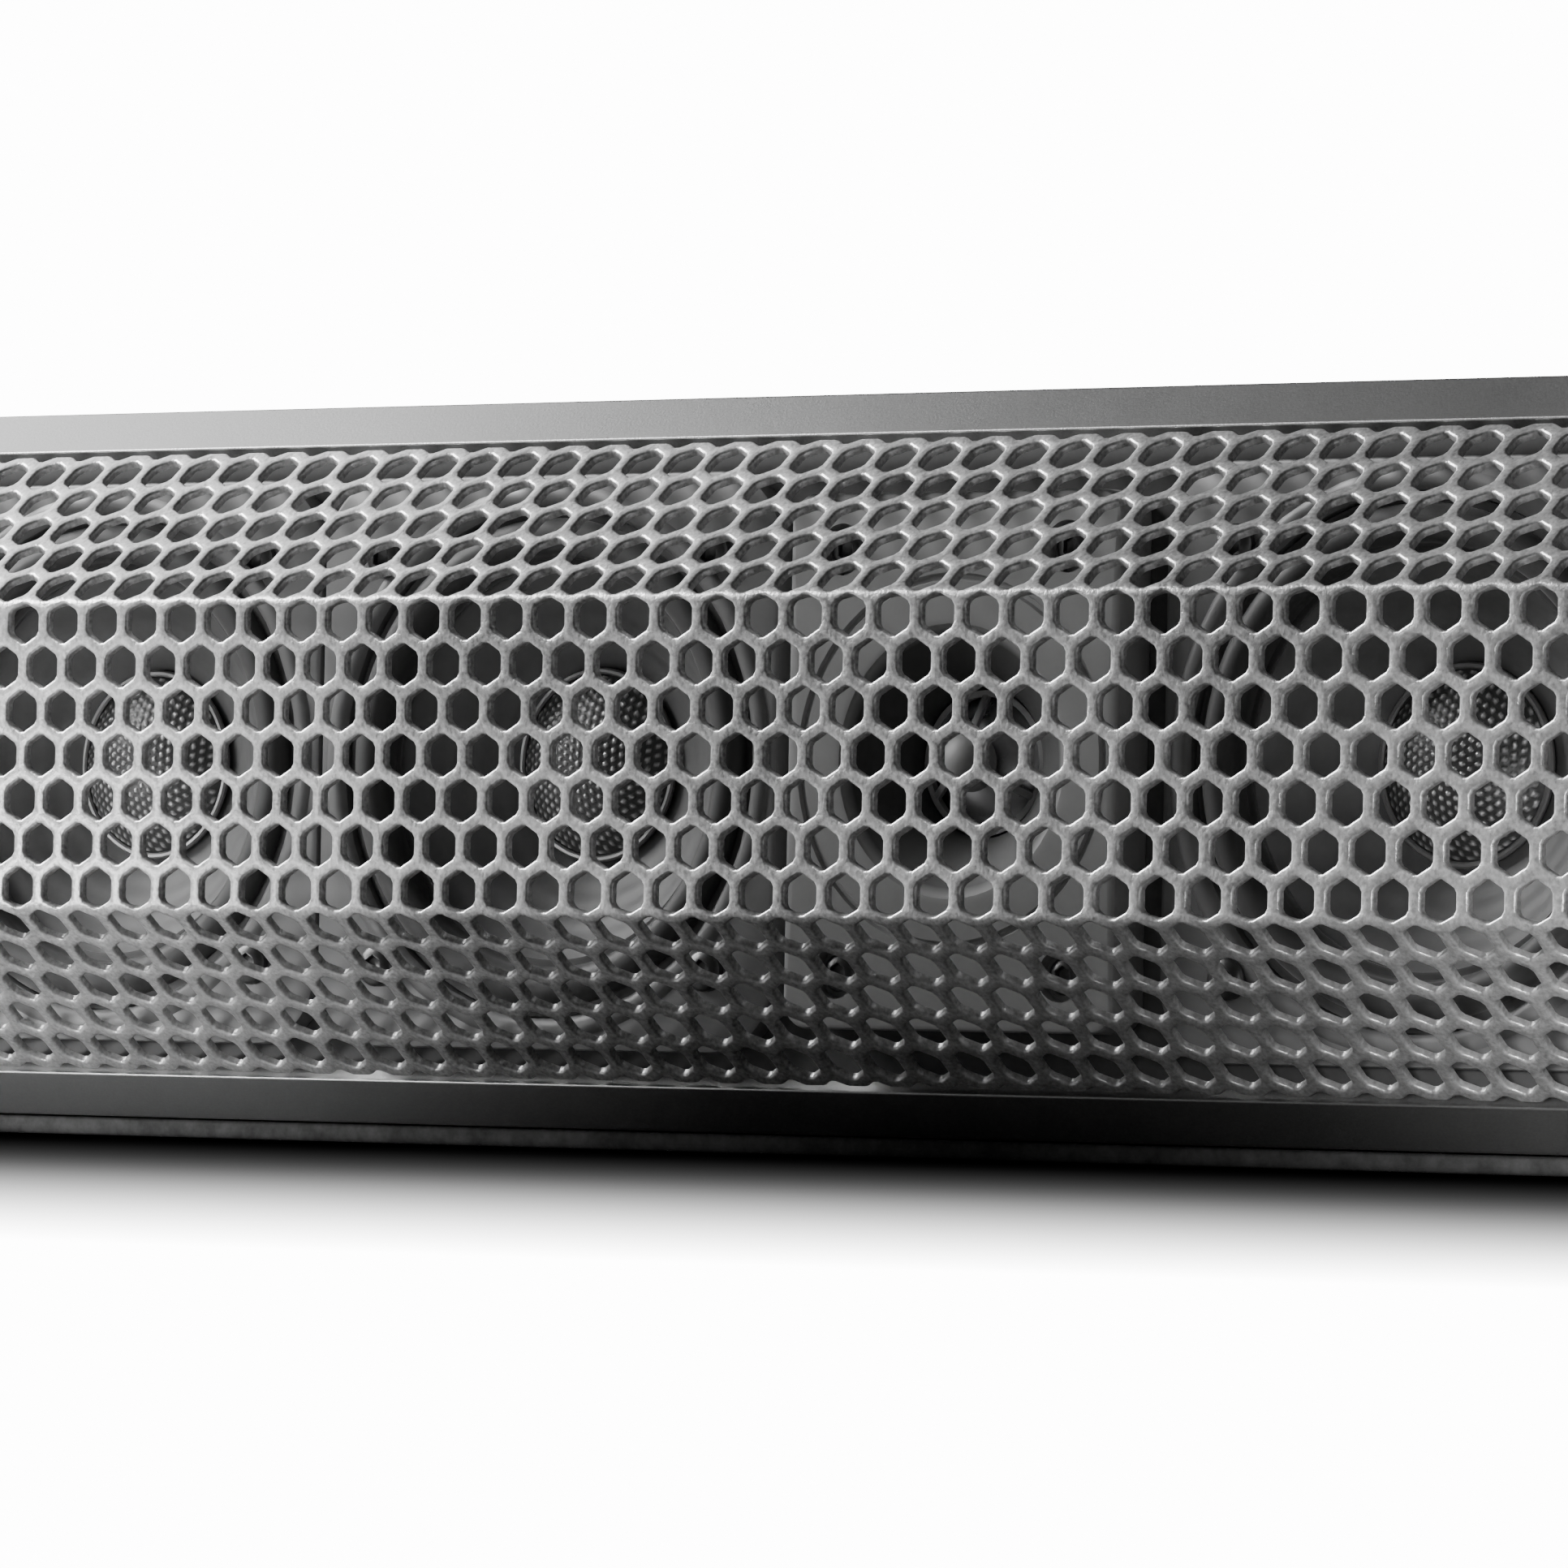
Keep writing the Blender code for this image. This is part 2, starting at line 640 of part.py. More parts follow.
def make_heat_sink(bar, material, front):
    """A flat base with upright fins, cut to length as an extrusion."""
    left = SINK_PLACE - (FINS - 1) * FIN_PITCH / 2 - FIN_THICKNESS / 2
    outline = [(front, left)]
    for i in range(FINS):
        start = left + i * FIN_PITCH
        outline += [(SINK_TIP, start), (SINK_TIP, start + FIN_THICKNESS)]
        if i < FINS - 1:
            foot = front + SINK_BASE
            outline += [(foot, start + FIN_THICKNESS), (foot, start + FIN_PITCH)]
    outline.append((front, left + (FINS - 1) * FIN_PITCH + FIN_THICKNESS))
    form = prism(outline, -SINK_HALF_HEIGHT, SINK_HALF_HEIGHT)
    swap = Matrix(((0, 0, 1), (0, 1, 0), (1, 0, 0)))
    bmesh.ops.transform(form, matrix=swap.to_4x4(), verts=form.verts)
    place("heat_sink", mesh_from("heat_sink", form), material, bar)


def make_rear_panel(bar, materials):
    """A plate behind the back wall's opening holds the inlet, the rocker and two sockets."""
    width, height = PANEL_HALF
    inner = PANEL_FACE - PANEL_THICKNESS
    form = block((-width, inner, -height), (width, PANEL_FACE, height))
    panel = place("rear_panel", mesh_from("rear_panel", form), materials["rear_panel"], bar)
    holes = (
        ("inlet", INLET_PLACE, 12.3, 8.3),
        ("rocker", ROCKER_PLACE, 7.9, 5.4),
        ("digital", DIGITAL_PLACE, 6.8, 6.3),
    )
    for name, across, half_x, half_z in holes:
        low = (across - half_x, inner - 1, -half_z)
        high = (across + half_x, PANEL_FACE + 1, half_z)
        combine(panel, add_cutter(f"cut_{name}", block(low, high), bar), "DIFFERENCE")
    radius = 4.8
    form = turned([(0, inner - 1), (radius, inner - 1), (radius, PANEL_FACE + 1), (0, PANEL_FACE + 1)])
    combine(panel, add_cutter("cut_line", form, bar, (LINE_PLACE, 0, 0)), "DIFFERENCE")
    make_inlet(bar, materials["socket"])
    make_digital_input(bar, materials["socket"], inner)
    make_line_input(bar, materials["socket"], inner)
    make_rocker(bar, materials["rocker"])


def make_inlet(bar, material):
    """A mains inlet: a deep pocket with two pins that stand on its floor."""
    front = PANEL_FACE + 1.2
    floor = front - INLET_POCKET_DEPTH
    wide, tall = INLET_HALF
    form = block((-wide, floor - 2, -tall), (wide, front, tall))
    inlet = place("mains_inlet", mesh_from("mains_inlet", form), material, bar, (INLET_PLACE, 0, 0))
    wide, tall = INLET_POCKET
    pocket = block((-wide, floor, -tall), (wide, front + 1, tall))
    combine(inlet, add_cutter("cut_pocket", pocket, bar, (INLET_PLACE, 0, 0)), "DIFFERENCE")
    tip = floor + PIN_LENGTH
    for name, across in (("pin_left", -PIN_PLACE), ("pin_right", PIN_PLACE)):
        form = turned([(0, floor - 1), (PIN_RADIUS, floor - 1), (PIN_RADIUS, tip), (0, tip)], 12)
        cutter = add_cutter(name, form, bar, (INLET_PLACE + across, 0, 0))
        combine(inlet, cutter, "UNION")


def make_digital_input(bar, material, inner):
    """A square light-pipe socket, open to the back."""
    front = PANEL_FACE + 0.8
    floor = front - DIGITAL_POCKET_DEPTH
    wide, tall = DIGITAL_HALF
    form = block((-wide, inner - 9, -tall), (wide, front, tall))
    socket = place("digital_input", mesh_from("digital_input", form), material, bar, (DIGITAL_PLACE, 0, 0))
    wide, tall = DIGITAL_POCKET
    pocket = block((-wide, floor, -tall), (wide, front + 1, tall))
    combine(socket, add_cutter("cut_light_pipe", pocket, bar, (DIGITAL_PLACE, 0, 0)), "DIFFERENCE")


def make_line_input(bar, material, inner):
    """A round jack socket with a flange and a deep narrow bore."""
    front = PANEL_FACE + 1.0
    back = inner - 11
    profile = [
        (JACK_BORE, front),
        (JACK_RADIUS, front),
        (JACK_RADIUS, back),
        (0, back),
        (0, back + 2),
        (JACK_BORE, back + 2),
    ]
    mesh = mesh_from("line_input", turned(profile, 24), smooth=True)
    place("line_input", mesh, material, bar, (LINE_PLACE, 0, 0))


def make_rocker(bar, material):
    """A rocker with a shallow valley across it, tilted to its first position."""
    half, wide = ROCKER_HALF
    below, valley, rim = -3.2, 1.4, 2.4
    outline = [(below, -half), (below, half), (rim, half), (valley, 0), (rim, -half)]
    form = prism(outline, -wide, wide)
    bmesh.ops.rotate(form, cent=(0, 0, 0), matrix=Matrix.Rotation(math.pi / 2, 3, "Y"), verts=form.verts)
    mesh = mesh_from("rocker_switch", form)
    rocker = place("rocker_switch", mesh, material, bar, (ROCKER_PLACE, PANEL_FACE - 1.5, 0))
    rocker.rotation_euler = (0, 0, ROCKER_TILT)


def make_keys(bar, material):
    """Three keys stand through the top wall, each with a flange and a post below it."""
    under = HALF_HEIGHT - WALL - GAP
    half_x, half_y = KEY_HALF
    levels = (
        (HALF_HEIGHT + KEY_RISE, half_x, half_y, 2.0),
        (under, half_x, half_y, 2.0),
        (under, half_x + 1.2, half_y + 1.2, 2.0),
        (under - 1.0, half_x + 1.2, half_y + 1.2, 2.0),
        (under - 1.0, 2.0, 2.0, 1.0),
        (under - 2.9, 2.0, 2.0, 1.0),
    )
    loops = [level_loop(wide, long, corner, level) for level, wide, long, corner in levels]
    for number, across in enumerate(KEY_PLACES, 1):
        mesh = mesh_from(f"key_{number}", capped_loft(loops))
        place(f"key_{number}", mesh, material, bar, (across, KEY_DEPTH, 0))


def make_feet(bar, material):
    """Two long rubber strips lift the housing off the surface it stands on."""
    top = -HALF_HEIGHT - GAP
    bottom = -HALF_HEIGHT - FOOT_HEIGHT
    chamfer = 0.6
    long, wide = FOOT_HALF_LENGTH, FOOT_HALF_WIDTH
    levels = (
        (top, long, wide),
        (bottom + chamfer, long, wide),
        (bottom, long - chamfer, wide - chamfer),
    )
    loops = [level_loop(length, width, width - 0.3, level) for level, length, width in levels]
    for name, depth in FOOT_DEPTHS:
        mesh = mesh_from(name, capped_loft(loops))
        place(name, mesh, material, bar, (0, depth, 0))


def make_materials():
    return {
        "grille": make_material("painted steel", (0.32, 0.32, 0.33), 0.45, 0.4),
        "housing": make_material("anodised aluminium", (0.30, 0.30, 0.31), 0.4, 0.8),
        "end_cap": make_material("end cap plastic", (0.10, 0.10, 0.105), 0.5, 0.0),
        "baffle": make_material("black baffle", (0.02, 0.02, 0.02), 0.7, 0.0),
        "basket": make_material("basket metal", (0.16, 0.16, 0.165), 0.5, 0.3),
        "surround": make_material("rubber", (0.05, 0.05, 0.05), 0.65, 0.0),
        "cone": make_material("cone", (0.12, 0.12, 0.12), 0.55, 0.0),
        "dust_dome": make_material("perforated dome", (0.35, 0.35, 0.36), 0.4, 0.8),
        "woofer_motor": make_material("plated steel", (0.45, 0.45, 0.46), 0.35, 1.0),
        "tweeter_plate": make_material("tweeter plate", (0.42, 0.42, 0.43), 0.4, 0.3),
        "tweeter_dome": make_material("tweeter dome", (0.6, 0.6, 0.6), 0.35, 0.6),
        "phase_plug": make_material("plug plastic", (0.5, 0.5, 0.5), 0.4, 0.0),
        "divider": make_material("divider board", (0.25, 0.2, 0.14), 0.8, 0.0),
        "harness": make_material("wire sleeve", (0.03, 0.03, 0.03), 0.6, 0.0),
        "board": make_material("circuit board", (0.02, 0.14, 0.06), 0.45, 0.0),
        "transformer": make_material("transformer tape", (0.35, 0.28, 0.05), 0.6, 0.0),
        "capacitor": make_material("capacitor sleeve", (0.02, 0.03, 0.08), 0.4, 0.0),
        "heat_sink": make_material("heat sink", (0.05, 0.05, 0.055), 0.45, 0.8),
        "rear_panel": make_material("rear panel", (0.06, 0.06, 0.062), 0.55, 0.0),
        "socket": make_material("socket plastic", (0.015, 0.015, 0.015), 0.45, 0.0),
        "rocker": make_material("rocker plastic", (0.02, 0.02, 0.02), 0.35, 0.0),
        "key": make_material("key plastic", (0.08, 0.08, 0.082), 0.45, 0.0),
        "foot": make_material("foot rubber", (0.03, 0.03, 0.03), 0.85, 0.0),
    }


def main():
    clear_scene()
    materials = make_materials()
    bar = bpy.data.objects.new("bar", None)
    bpy.context.collection.objects.link(bar)
    bar.location = (0, -DEPTH / 2 * MM, (HALF_HEIGHT + FOOT_HEIGHT) * MM)
    make_grille(bar, materials["grille"])
    make_housing(bar, materials["housing"])
    make_end_caps(bar, materials["end_cap"])
    make_baffle(bar, materials["baffle"])
    make_woofers(bar, materials)
    make_tweeter(bar, materials)
    make_dividers(bar, materials["divider"])
    make_harness(bar, materials["harness"])
    make_electronics(bar, materials)
    make_rear_panel(bar, materials)
    make_keys(bar, materials["key"])
    make_feet(bar, materials["foot"])


main()
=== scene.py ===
import math

import bmesh
import bpy
import numpy as np
from mathutils import Matrix, Vector


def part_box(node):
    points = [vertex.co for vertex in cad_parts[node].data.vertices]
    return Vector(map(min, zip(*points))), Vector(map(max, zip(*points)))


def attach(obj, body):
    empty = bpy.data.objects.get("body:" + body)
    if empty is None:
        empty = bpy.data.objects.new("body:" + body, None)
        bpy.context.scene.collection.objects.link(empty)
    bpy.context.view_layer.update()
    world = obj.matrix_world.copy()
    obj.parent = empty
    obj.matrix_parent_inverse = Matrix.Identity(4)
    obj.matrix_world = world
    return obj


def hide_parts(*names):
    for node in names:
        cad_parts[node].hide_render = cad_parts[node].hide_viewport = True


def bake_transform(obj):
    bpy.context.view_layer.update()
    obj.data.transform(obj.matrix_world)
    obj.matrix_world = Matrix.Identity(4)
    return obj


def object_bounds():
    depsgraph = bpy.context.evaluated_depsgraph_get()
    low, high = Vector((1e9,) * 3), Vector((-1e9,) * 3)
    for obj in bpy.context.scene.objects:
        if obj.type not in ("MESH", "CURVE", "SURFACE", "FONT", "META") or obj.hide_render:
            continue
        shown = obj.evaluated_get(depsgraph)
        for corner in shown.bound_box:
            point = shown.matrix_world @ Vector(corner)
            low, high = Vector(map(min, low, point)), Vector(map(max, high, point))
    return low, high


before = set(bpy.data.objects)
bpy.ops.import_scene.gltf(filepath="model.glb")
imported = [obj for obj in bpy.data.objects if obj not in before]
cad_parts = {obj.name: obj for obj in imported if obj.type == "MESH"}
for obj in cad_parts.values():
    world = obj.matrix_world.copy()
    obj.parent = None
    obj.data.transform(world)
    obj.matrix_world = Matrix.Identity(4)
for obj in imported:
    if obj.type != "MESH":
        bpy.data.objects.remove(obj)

print("soundbar: frame loaded")
cadLow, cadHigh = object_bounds()
mm = 0.001

# The bar's own axes, in millimetres: across it, depth behind the grille's front, height above its middle.
grilleLow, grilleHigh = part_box("grille")
frontPlane = grilleLow.y
middleHeight = (grilleLow.z + grilleHigh.z) / 2
fixedBody = "enclosure"
woofers = sorted(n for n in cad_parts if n.startswith("basket_"))
wooferPlaces = [sum(p.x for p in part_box(n)) / 2 / mm for n in woofers]

# What several pieces share.
bar = {
    "halfLength": cadHigh.x / mm,
    "depth": (cadHigh.y - cadLow.y) / mm,
    "halfHeight": (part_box("housing")[1].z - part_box("housing")[0].z) / 2 / mm,
    "foldHeight": 22.733,     # where the flat front turns into a facet
    "slope": math.radians(52.5),
    "gap": 0.3,
}


def toWorld(points):
    # (across, depth, height) in millimetres to metres in the frame
    points = np.asarray(points, float)
    shift = np.array([0.0, frontPlane, middleHeight])
    return points * mm + shift


def newMesh(name, points, faces):
    # faces is a list of index arrays, each holding faces with one number of sides
    mesh = bpy.data.meshes.new(name)
    sizes = np.concatenate([np.full(len(f), f.shape[1]) for f in faces])
    corners = np.concatenate([f.ravel() for f in faces]).astype(np.int32)
    starts = np.concatenate([[0], np.cumsum(sizes)[:-1]]).astype(np.int32)
    mesh.vertices.add(len(points))
    mesh.vertices.foreach_set("co", np.ascontiguousarray(points, np.float32).ravel())
    mesh.loops.add(len(corners))
    mesh.loops.foreach_set("vertex_index", corners)
    mesh.polygons.add(len(starts))
    mesh.polygons.foreach_set("loop_start", starts)
    mesh.update(calc_edges=True)
    mesh.validate()
    return mesh


def closeMesh(mesh, weld=1e-6):
    # seams and poles are merged and the faces turned outwards
    form = bmesh.new()
    form.from_mesh(mesh)
    bmesh.ops.remove_doubles(form, verts=form.verts, dist=weld)
    bmesh.ops.dissolve_degenerate(form, edges=form.edges, dist=weld / 10)
    bmesh.ops.recalc_face_normals(form, faces=form.faces)
    form.to_mesh(mesh)
    form.free()
    return mesh


def meshPoints(mesh):
    points = np.empty(len(mesh.vertices) * 3, np.float32)
    mesh.vertices.foreach_get("co", points)
    return points.reshape(-1, 3)


def setPoints(mesh, points):
    mesh.vertices.foreach_set("co", np.ascontiguousarray(points, np.float32).ravel())
    mesh.update()


def showPiece(name, mesh, look, slot, *replaced, body=fixedBody, sharp=32, flats=False):
    # flats keeps a piece's broad faces flat right up to its rounded edges
    mesh.shade_smooth()
    mesh.set_sharp_from_angle(angle=math.radians(sharp))
    piece = bpy.data.objects.new(name, mesh)
    bpy.context.collection.objects.link(piece)
    if flats:
        piece.modifiers.new("Flats", "WEIGHTED_NORMAL").keep_sharp = True
    mesh.materials.clear()
    mesh.materials.append(made[look])
    if body:
        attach(piece, body)
    if replaced:
        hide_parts(*replaced)
    return piece


def gridFaces(rows, columns, closeRows=False, closeColumns=False):
    # the quads of a rows x columns grid, joined round where a direction closes on itself
    r = np.arange(rows if closeRows else rows - 1)
    c = np.arange(columns if closeColumns else columns - 1)
    r, c = np.meshgrid(r, c, indexing="ij")
    r2 = (r + 1) % rows
    c2 = (c + 1) % columns
    quads = np.stack([r * columns + c, r2 * columns + c, r2 * columns + c2, r * columns + c2], -1)
    return quads.reshape(-1, 4)


def turnedPoints(profile, steps, centre=(0.0, 0.0)):
    # each (radius, depth) of the profile goes round the axis: x = r cos t, z = r sin t
    profile = np.asarray(profile, float)
    t = np.arange(steps) * 2 * np.pi / steps
    radius, depth = profile[:, :1], profile[:, 1:]
    return np.stack([
        centre[0] + radius * np.cos(t),
        depth + 0 * t,
        centre[1] + radius * np.sin(t),
    ], -1)


def turnedMesh(name, profile, steps=72, centre=(0.0, 0.0), closed=False):
    grid = turnedPoints(profile, steps, centre)
    faces = gridFaces(len(profile), steps, closeRows=closed, closeColumns=True)
    return closeMesh(newMesh(name, toWorld(grid.reshape(-1, 3)), [faces]))


def loopMesh(name, loops, closed=False):
    # loops is rings x points x 3; unless it closes on itself, both end rings get a flat face
    loops = np.asarray(loops, float)
    rings, count = loops.shape[:2]
    faces = [gridFaces(rings, count, closeRows=closed, closeColumns=True)]
    if not closed:
        ends = np.stack([np.arange(count), (rings - 1) * count + np.arange(count)[::-1]])
        faces.append(ends)
    return closeMesh(newMesh(name, toWorld(loops.reshape(-1, 3)), faces))


def filleted(points, radii, steps=5, closed=True):
    # each corner of a path becomes an arc that touches both of its sides
    points = np.asarray(points, float)
    count = len(points)
    made = []
    for i in range(count):
        here = points[i]
        radius = radii[i]
        atEnd = not closed and i in (0, count - 1)
        if radius <= 0 or atEnd:
            made.append(here[None])
            continue
        toLast = points[i - 1] - here
        toNext = points[(i + 1) % count] - here
        toLast /= np.linalg.norm(toLast)
        toNext /= np.linalg.norm(toNext)
        half = math.acos(np.clip(toLast @ toNext, -1, 1)) / 2
        middle = here + (toLast + toNext) / np.linalg.norm(toLast + toNext) * radius / math.sin(half)
        first = here + toLast * radius / math.tan(half) - middle
        last = here + toNext * radius / math.tan(half) - middle
        spread = math.pi - 2 * half
        s = np.linspace(0, 1, steps + 1)[:, None]
        arc = np.sin((1 - s) * spread) * first + np.sin(s * spread) * last
        made.append(middle + arc / math.sin(spread))
    return np.concatenate(made)


def roundedBox(halfWide, halfHigh, corner, perCorner=6):
    # (n, 2) points round a rectangle whose corners are quarter circles
    t = np.linspace(0, np.pi / 2, perCorner)
    start = np.arange(4)[:, None] * np.pi / 2
    signs = np.array([[1, 1], [-1, 1], [-1, -1], [1, -1]])[:, None, :]
    arc = np.stack([np.cos(start + t), np.sin(start + t)], -1) * corner
    return (arc + signs * np.array([halfWide - corner, halfHigh - corner])).reshape(-1, 2)


def roundLike(radius, perCorner=6):
    # a circle with as many points as roundedBox, each at the matching angle
    t = (np.arange(4 * perCorner) + 0.5) * 2 * np.pi / (4 * perCorner)
    return np.stack([radius * np.cos(t), radius * np.sin(t)], -1)


def atDepth(ring, depth, centre=(0.0, 0.0)):
    ring = np.asarray(ring)
    return np.stack([ring[:, 0] + centre[0], np.full(len(ring), depth), ring[:, 1] + centre[1]], -1)


def atAcross(ring, across):
    # a ring of (depth, height) at one place along the bar
    return np.column_stack([np.full(len(ring), across), ring])


def atHeight(ring, height):
    # a ring of (across, depth) at one height
    return np.column_stack([ring, np.full(len(ring), height)])


def facetPoint(along, inward):
    # a point of the upper facet: distance from the fold, depth under its face
    depth = along * math.sin(bar["slope"]) + inward * math.cos(bar["slope"])
    height = bar["foldHeight"] + along * math.cos(bar["slope"]) - inward * math.sin(bar["slope"])
    return depth, height


def mirrored(upper):
    return upper + [(depth, -height) for depth, height in reversed(upper)]


# Materials: a few shared groups, then one finish for each kind of surface.

def addNode(tree, kind, inputs=(), **settings):
    # inputs are numbers, colours or other nodes' outputs, each by its label or place
    node = tree.nodes.new("ShaderNode" + kind)
    for key, value in settings.items():
        setattr(node, key, value)
    for label, value in dict(inputs).items():
        if isinstance(value, bpy.types.NodeSocket):
            tree.links.new(value, node.inputs[label])
        else:
            node.inputs[label].default_value = value
    return node


def calc(tree, operation, *values, clamp=False):
    return addNode(tree, "Math", enumerate(values), operation=operation, use_clamp=clamp).outputs[0]


def mixed(tree, factor, first, second, blend="MIX"):
    inputs = {"Factor": factor, "A": first, "B": second}
    return addNode(tree, "Mix", inputs, data_type="RGBA", blend_type=blend).outputs["Result"]


def nodeGroup(name, inputs, outputs):
    group = bpy.data.node_groups.new(name, "ShaderNodeTree")
    for label, value in inputs.items():
        kind = "NodeSocketFloat" if isinstance(value, float) else "NodeSocketVector"
        group.interface.new_socket(label, in_out="INPUT", socket_type=kind).default_value = value
    for label in outputs:
        group.interface.new_socket(label, in_out="OUTPUT", socket_type="NodeSocketFloat")
    return group, group.nodes.new("NodeGroupInput").outputs


def giveOut(group, **values):
    end = group.nodes.new("NodeGroupOutput")
    for label, value in values.items():
        group.links.new(value, end.inputs[label])


def noiseAt(tree, place, scale, detail, roughness):
    inputs = {"Vector": place, "Scale": scale, "Detail": detail, "Roughness": roughness}
    return addNode(tree, "TexNoise", inputs).outputs["Fac"]


def makeSurfaceGroup():
    # fine grain over slow clouds: a shade factor, a roughness and a height
    group, given = nodeGroup("surfaceDetail", {
        "Grain Scale": 900.0,
        "Grain Stretch": (1.0, 1.0, 1.0),
        "Cloud Scale": 18.0,
        "Shade Spread": 0.08,
        "Roughness": 0.4,
        "Roughness Spread": 0.1,
    }, ["Shade", "Roughness", "Height"])
    place = addNode(group, "TexCoord").outputs["Object"]
    stretched = addNode(group, "Mapping", {"Vector": place, "Scale": given["Grain Stretch"]})
    grain = noiseAt(group, stretched.outputs["Vector"], given["Grain Scale"], 3.0, 0.6)
    cloud = noiseAt(group, place, given["Cloud Scale"], 4.0, 0.55)
    centred = calc(group, "SUBTRACT", calc(group, "ADD", grain, cloud), 1.0)
    shade = calc(group, "MULTIPLY_ADD", centred, given["Shade Spread"], 1.0)
    rough = calc(group, "MULTIPLY_ADD", centred, given["Roughness Spread"], given["Roughness"], clamp=True)
    giveOut(group, Shade=shade, Roughness=rough, Height=grain)
    return group


def makeWearAndHighlightGroup():
    # 1 on convex edges, broken up by noise, and 0 on flats, from the surface's pointiness; it marks edges to
    # lighten as wear and, on the grille, as a painted highlight
    group, given = nodeGroup("edgeWearAndHighlight", {"Reach": 0.53, "Break Up": 220.0}, ["Mask"])
    place = addNode(group, "TexCoord").outputs["Object"]
    noise = noiseAt(group, place, given["Break Up"], 5.0, 0.65)
    edge = addNode(group, "MapRange", {
        "Value": addNode(group, "NewGeometry").outputs["Pointiness"],
        "From Min": given["Reach"],
        "From Max": calc(group, "ADD", given["Reach"], 0.08),
    })
    giveOut(group, Mask=calc(group, "MULTIPLY", edge.outputs["Result"], noise, clamp=True))
    return group


surfaceDetail = makeSurfaceGroup()
edgeWearAndHighlight = makeWearAndHighlightGroup()


def colourOf(value):
    # a grey is one number
    return (value, value, value, 1.0) if isinstance(value, float) else (*value, 1.0)


def finish(name, look):
    # one Principled shader: its colour follows the grain, its edges turn lighter as wear and, on the grille,
    # as a painted highlight, its bump is the grain
    material = bpy.data.materials.new(name)
    material.use_nodes = True
    tree = material.node_tree
    shader = tree.nodes["Principled BSDF"]
    shader.inputs["Metallic"].default_value = look.get("metallic", 0.0)
    shader.inputs["Specular IOR Level"].default_value = look.get("specular", 0.5)
    shader.inputs["Sheen Weight"].default_value = look.get("sheen", 0.0)
    detail = addNode(tree, "Group", node_tree=surfaceDetail)
    wearAndHighlight = addNode(tree, "Group", node_tree=edgeWearAndHighlight)
    for node, label, key in (
        (detail, "Grain Scale", "grain"),
        (detail, "Grain Stretch", "stretch"),
        (detail, "Shade Spread", "spread"),
        (detail, "Roughness", "roughness"),
        (wearAndHighlight, "Reach", "wearAndHighlightReach"),
        (wearAndHighlight, "Break Up", "wearAndHighlightScale"),
    ):
        if key in look:
            node.inputs[label].default_value = look[key]
    colour = colourOf(look["colour"])
    if "paintedShadeColour" in look:
        # a point attribute of the mesh picks the second colour, which is painted shade
        paintedShade = addNode(tree, "Attribute", attribute_name="paintedShade").outputs["Fac"]
        colour = mixed(tree, paintedShade, colour, colourOf(look["paintedShadeColour"]))
    toned = mixed(tree, 1.0, colour, detail.outputs["Shade"], "MULTIPLY")
    # edges lighten by this share: wear on most finishes, and a painted highlight on the grille's hole rims
    wornAndLitShare = calc(tree, "MULTIPLY", wearAndHighlight.outputs["Mask"], look.get("wearAndHighlight", 0.3))
    wornAndLitColour = mixed(tree, wornAndLitShare, toned, colourOf(look.get("wearAndHighlightColour", 0.5)))
    bump = addNode(tree, "Bump", {
        "Strength": look.get("bump", 0.15),
        "Distance": look.get("bumpDepth", 0.00005),
        "Height": detail.outputs["Height"],
    })
    tree.links.new(wornAndLitColour, shader.inputs["Base Color"])
    tree.links.new(detail.outputs["Roughness"], shader.inputs["Roughness"])
    tree.links.new(bump.outputs["Normal"], shader.inputs["Normal"])
    return material


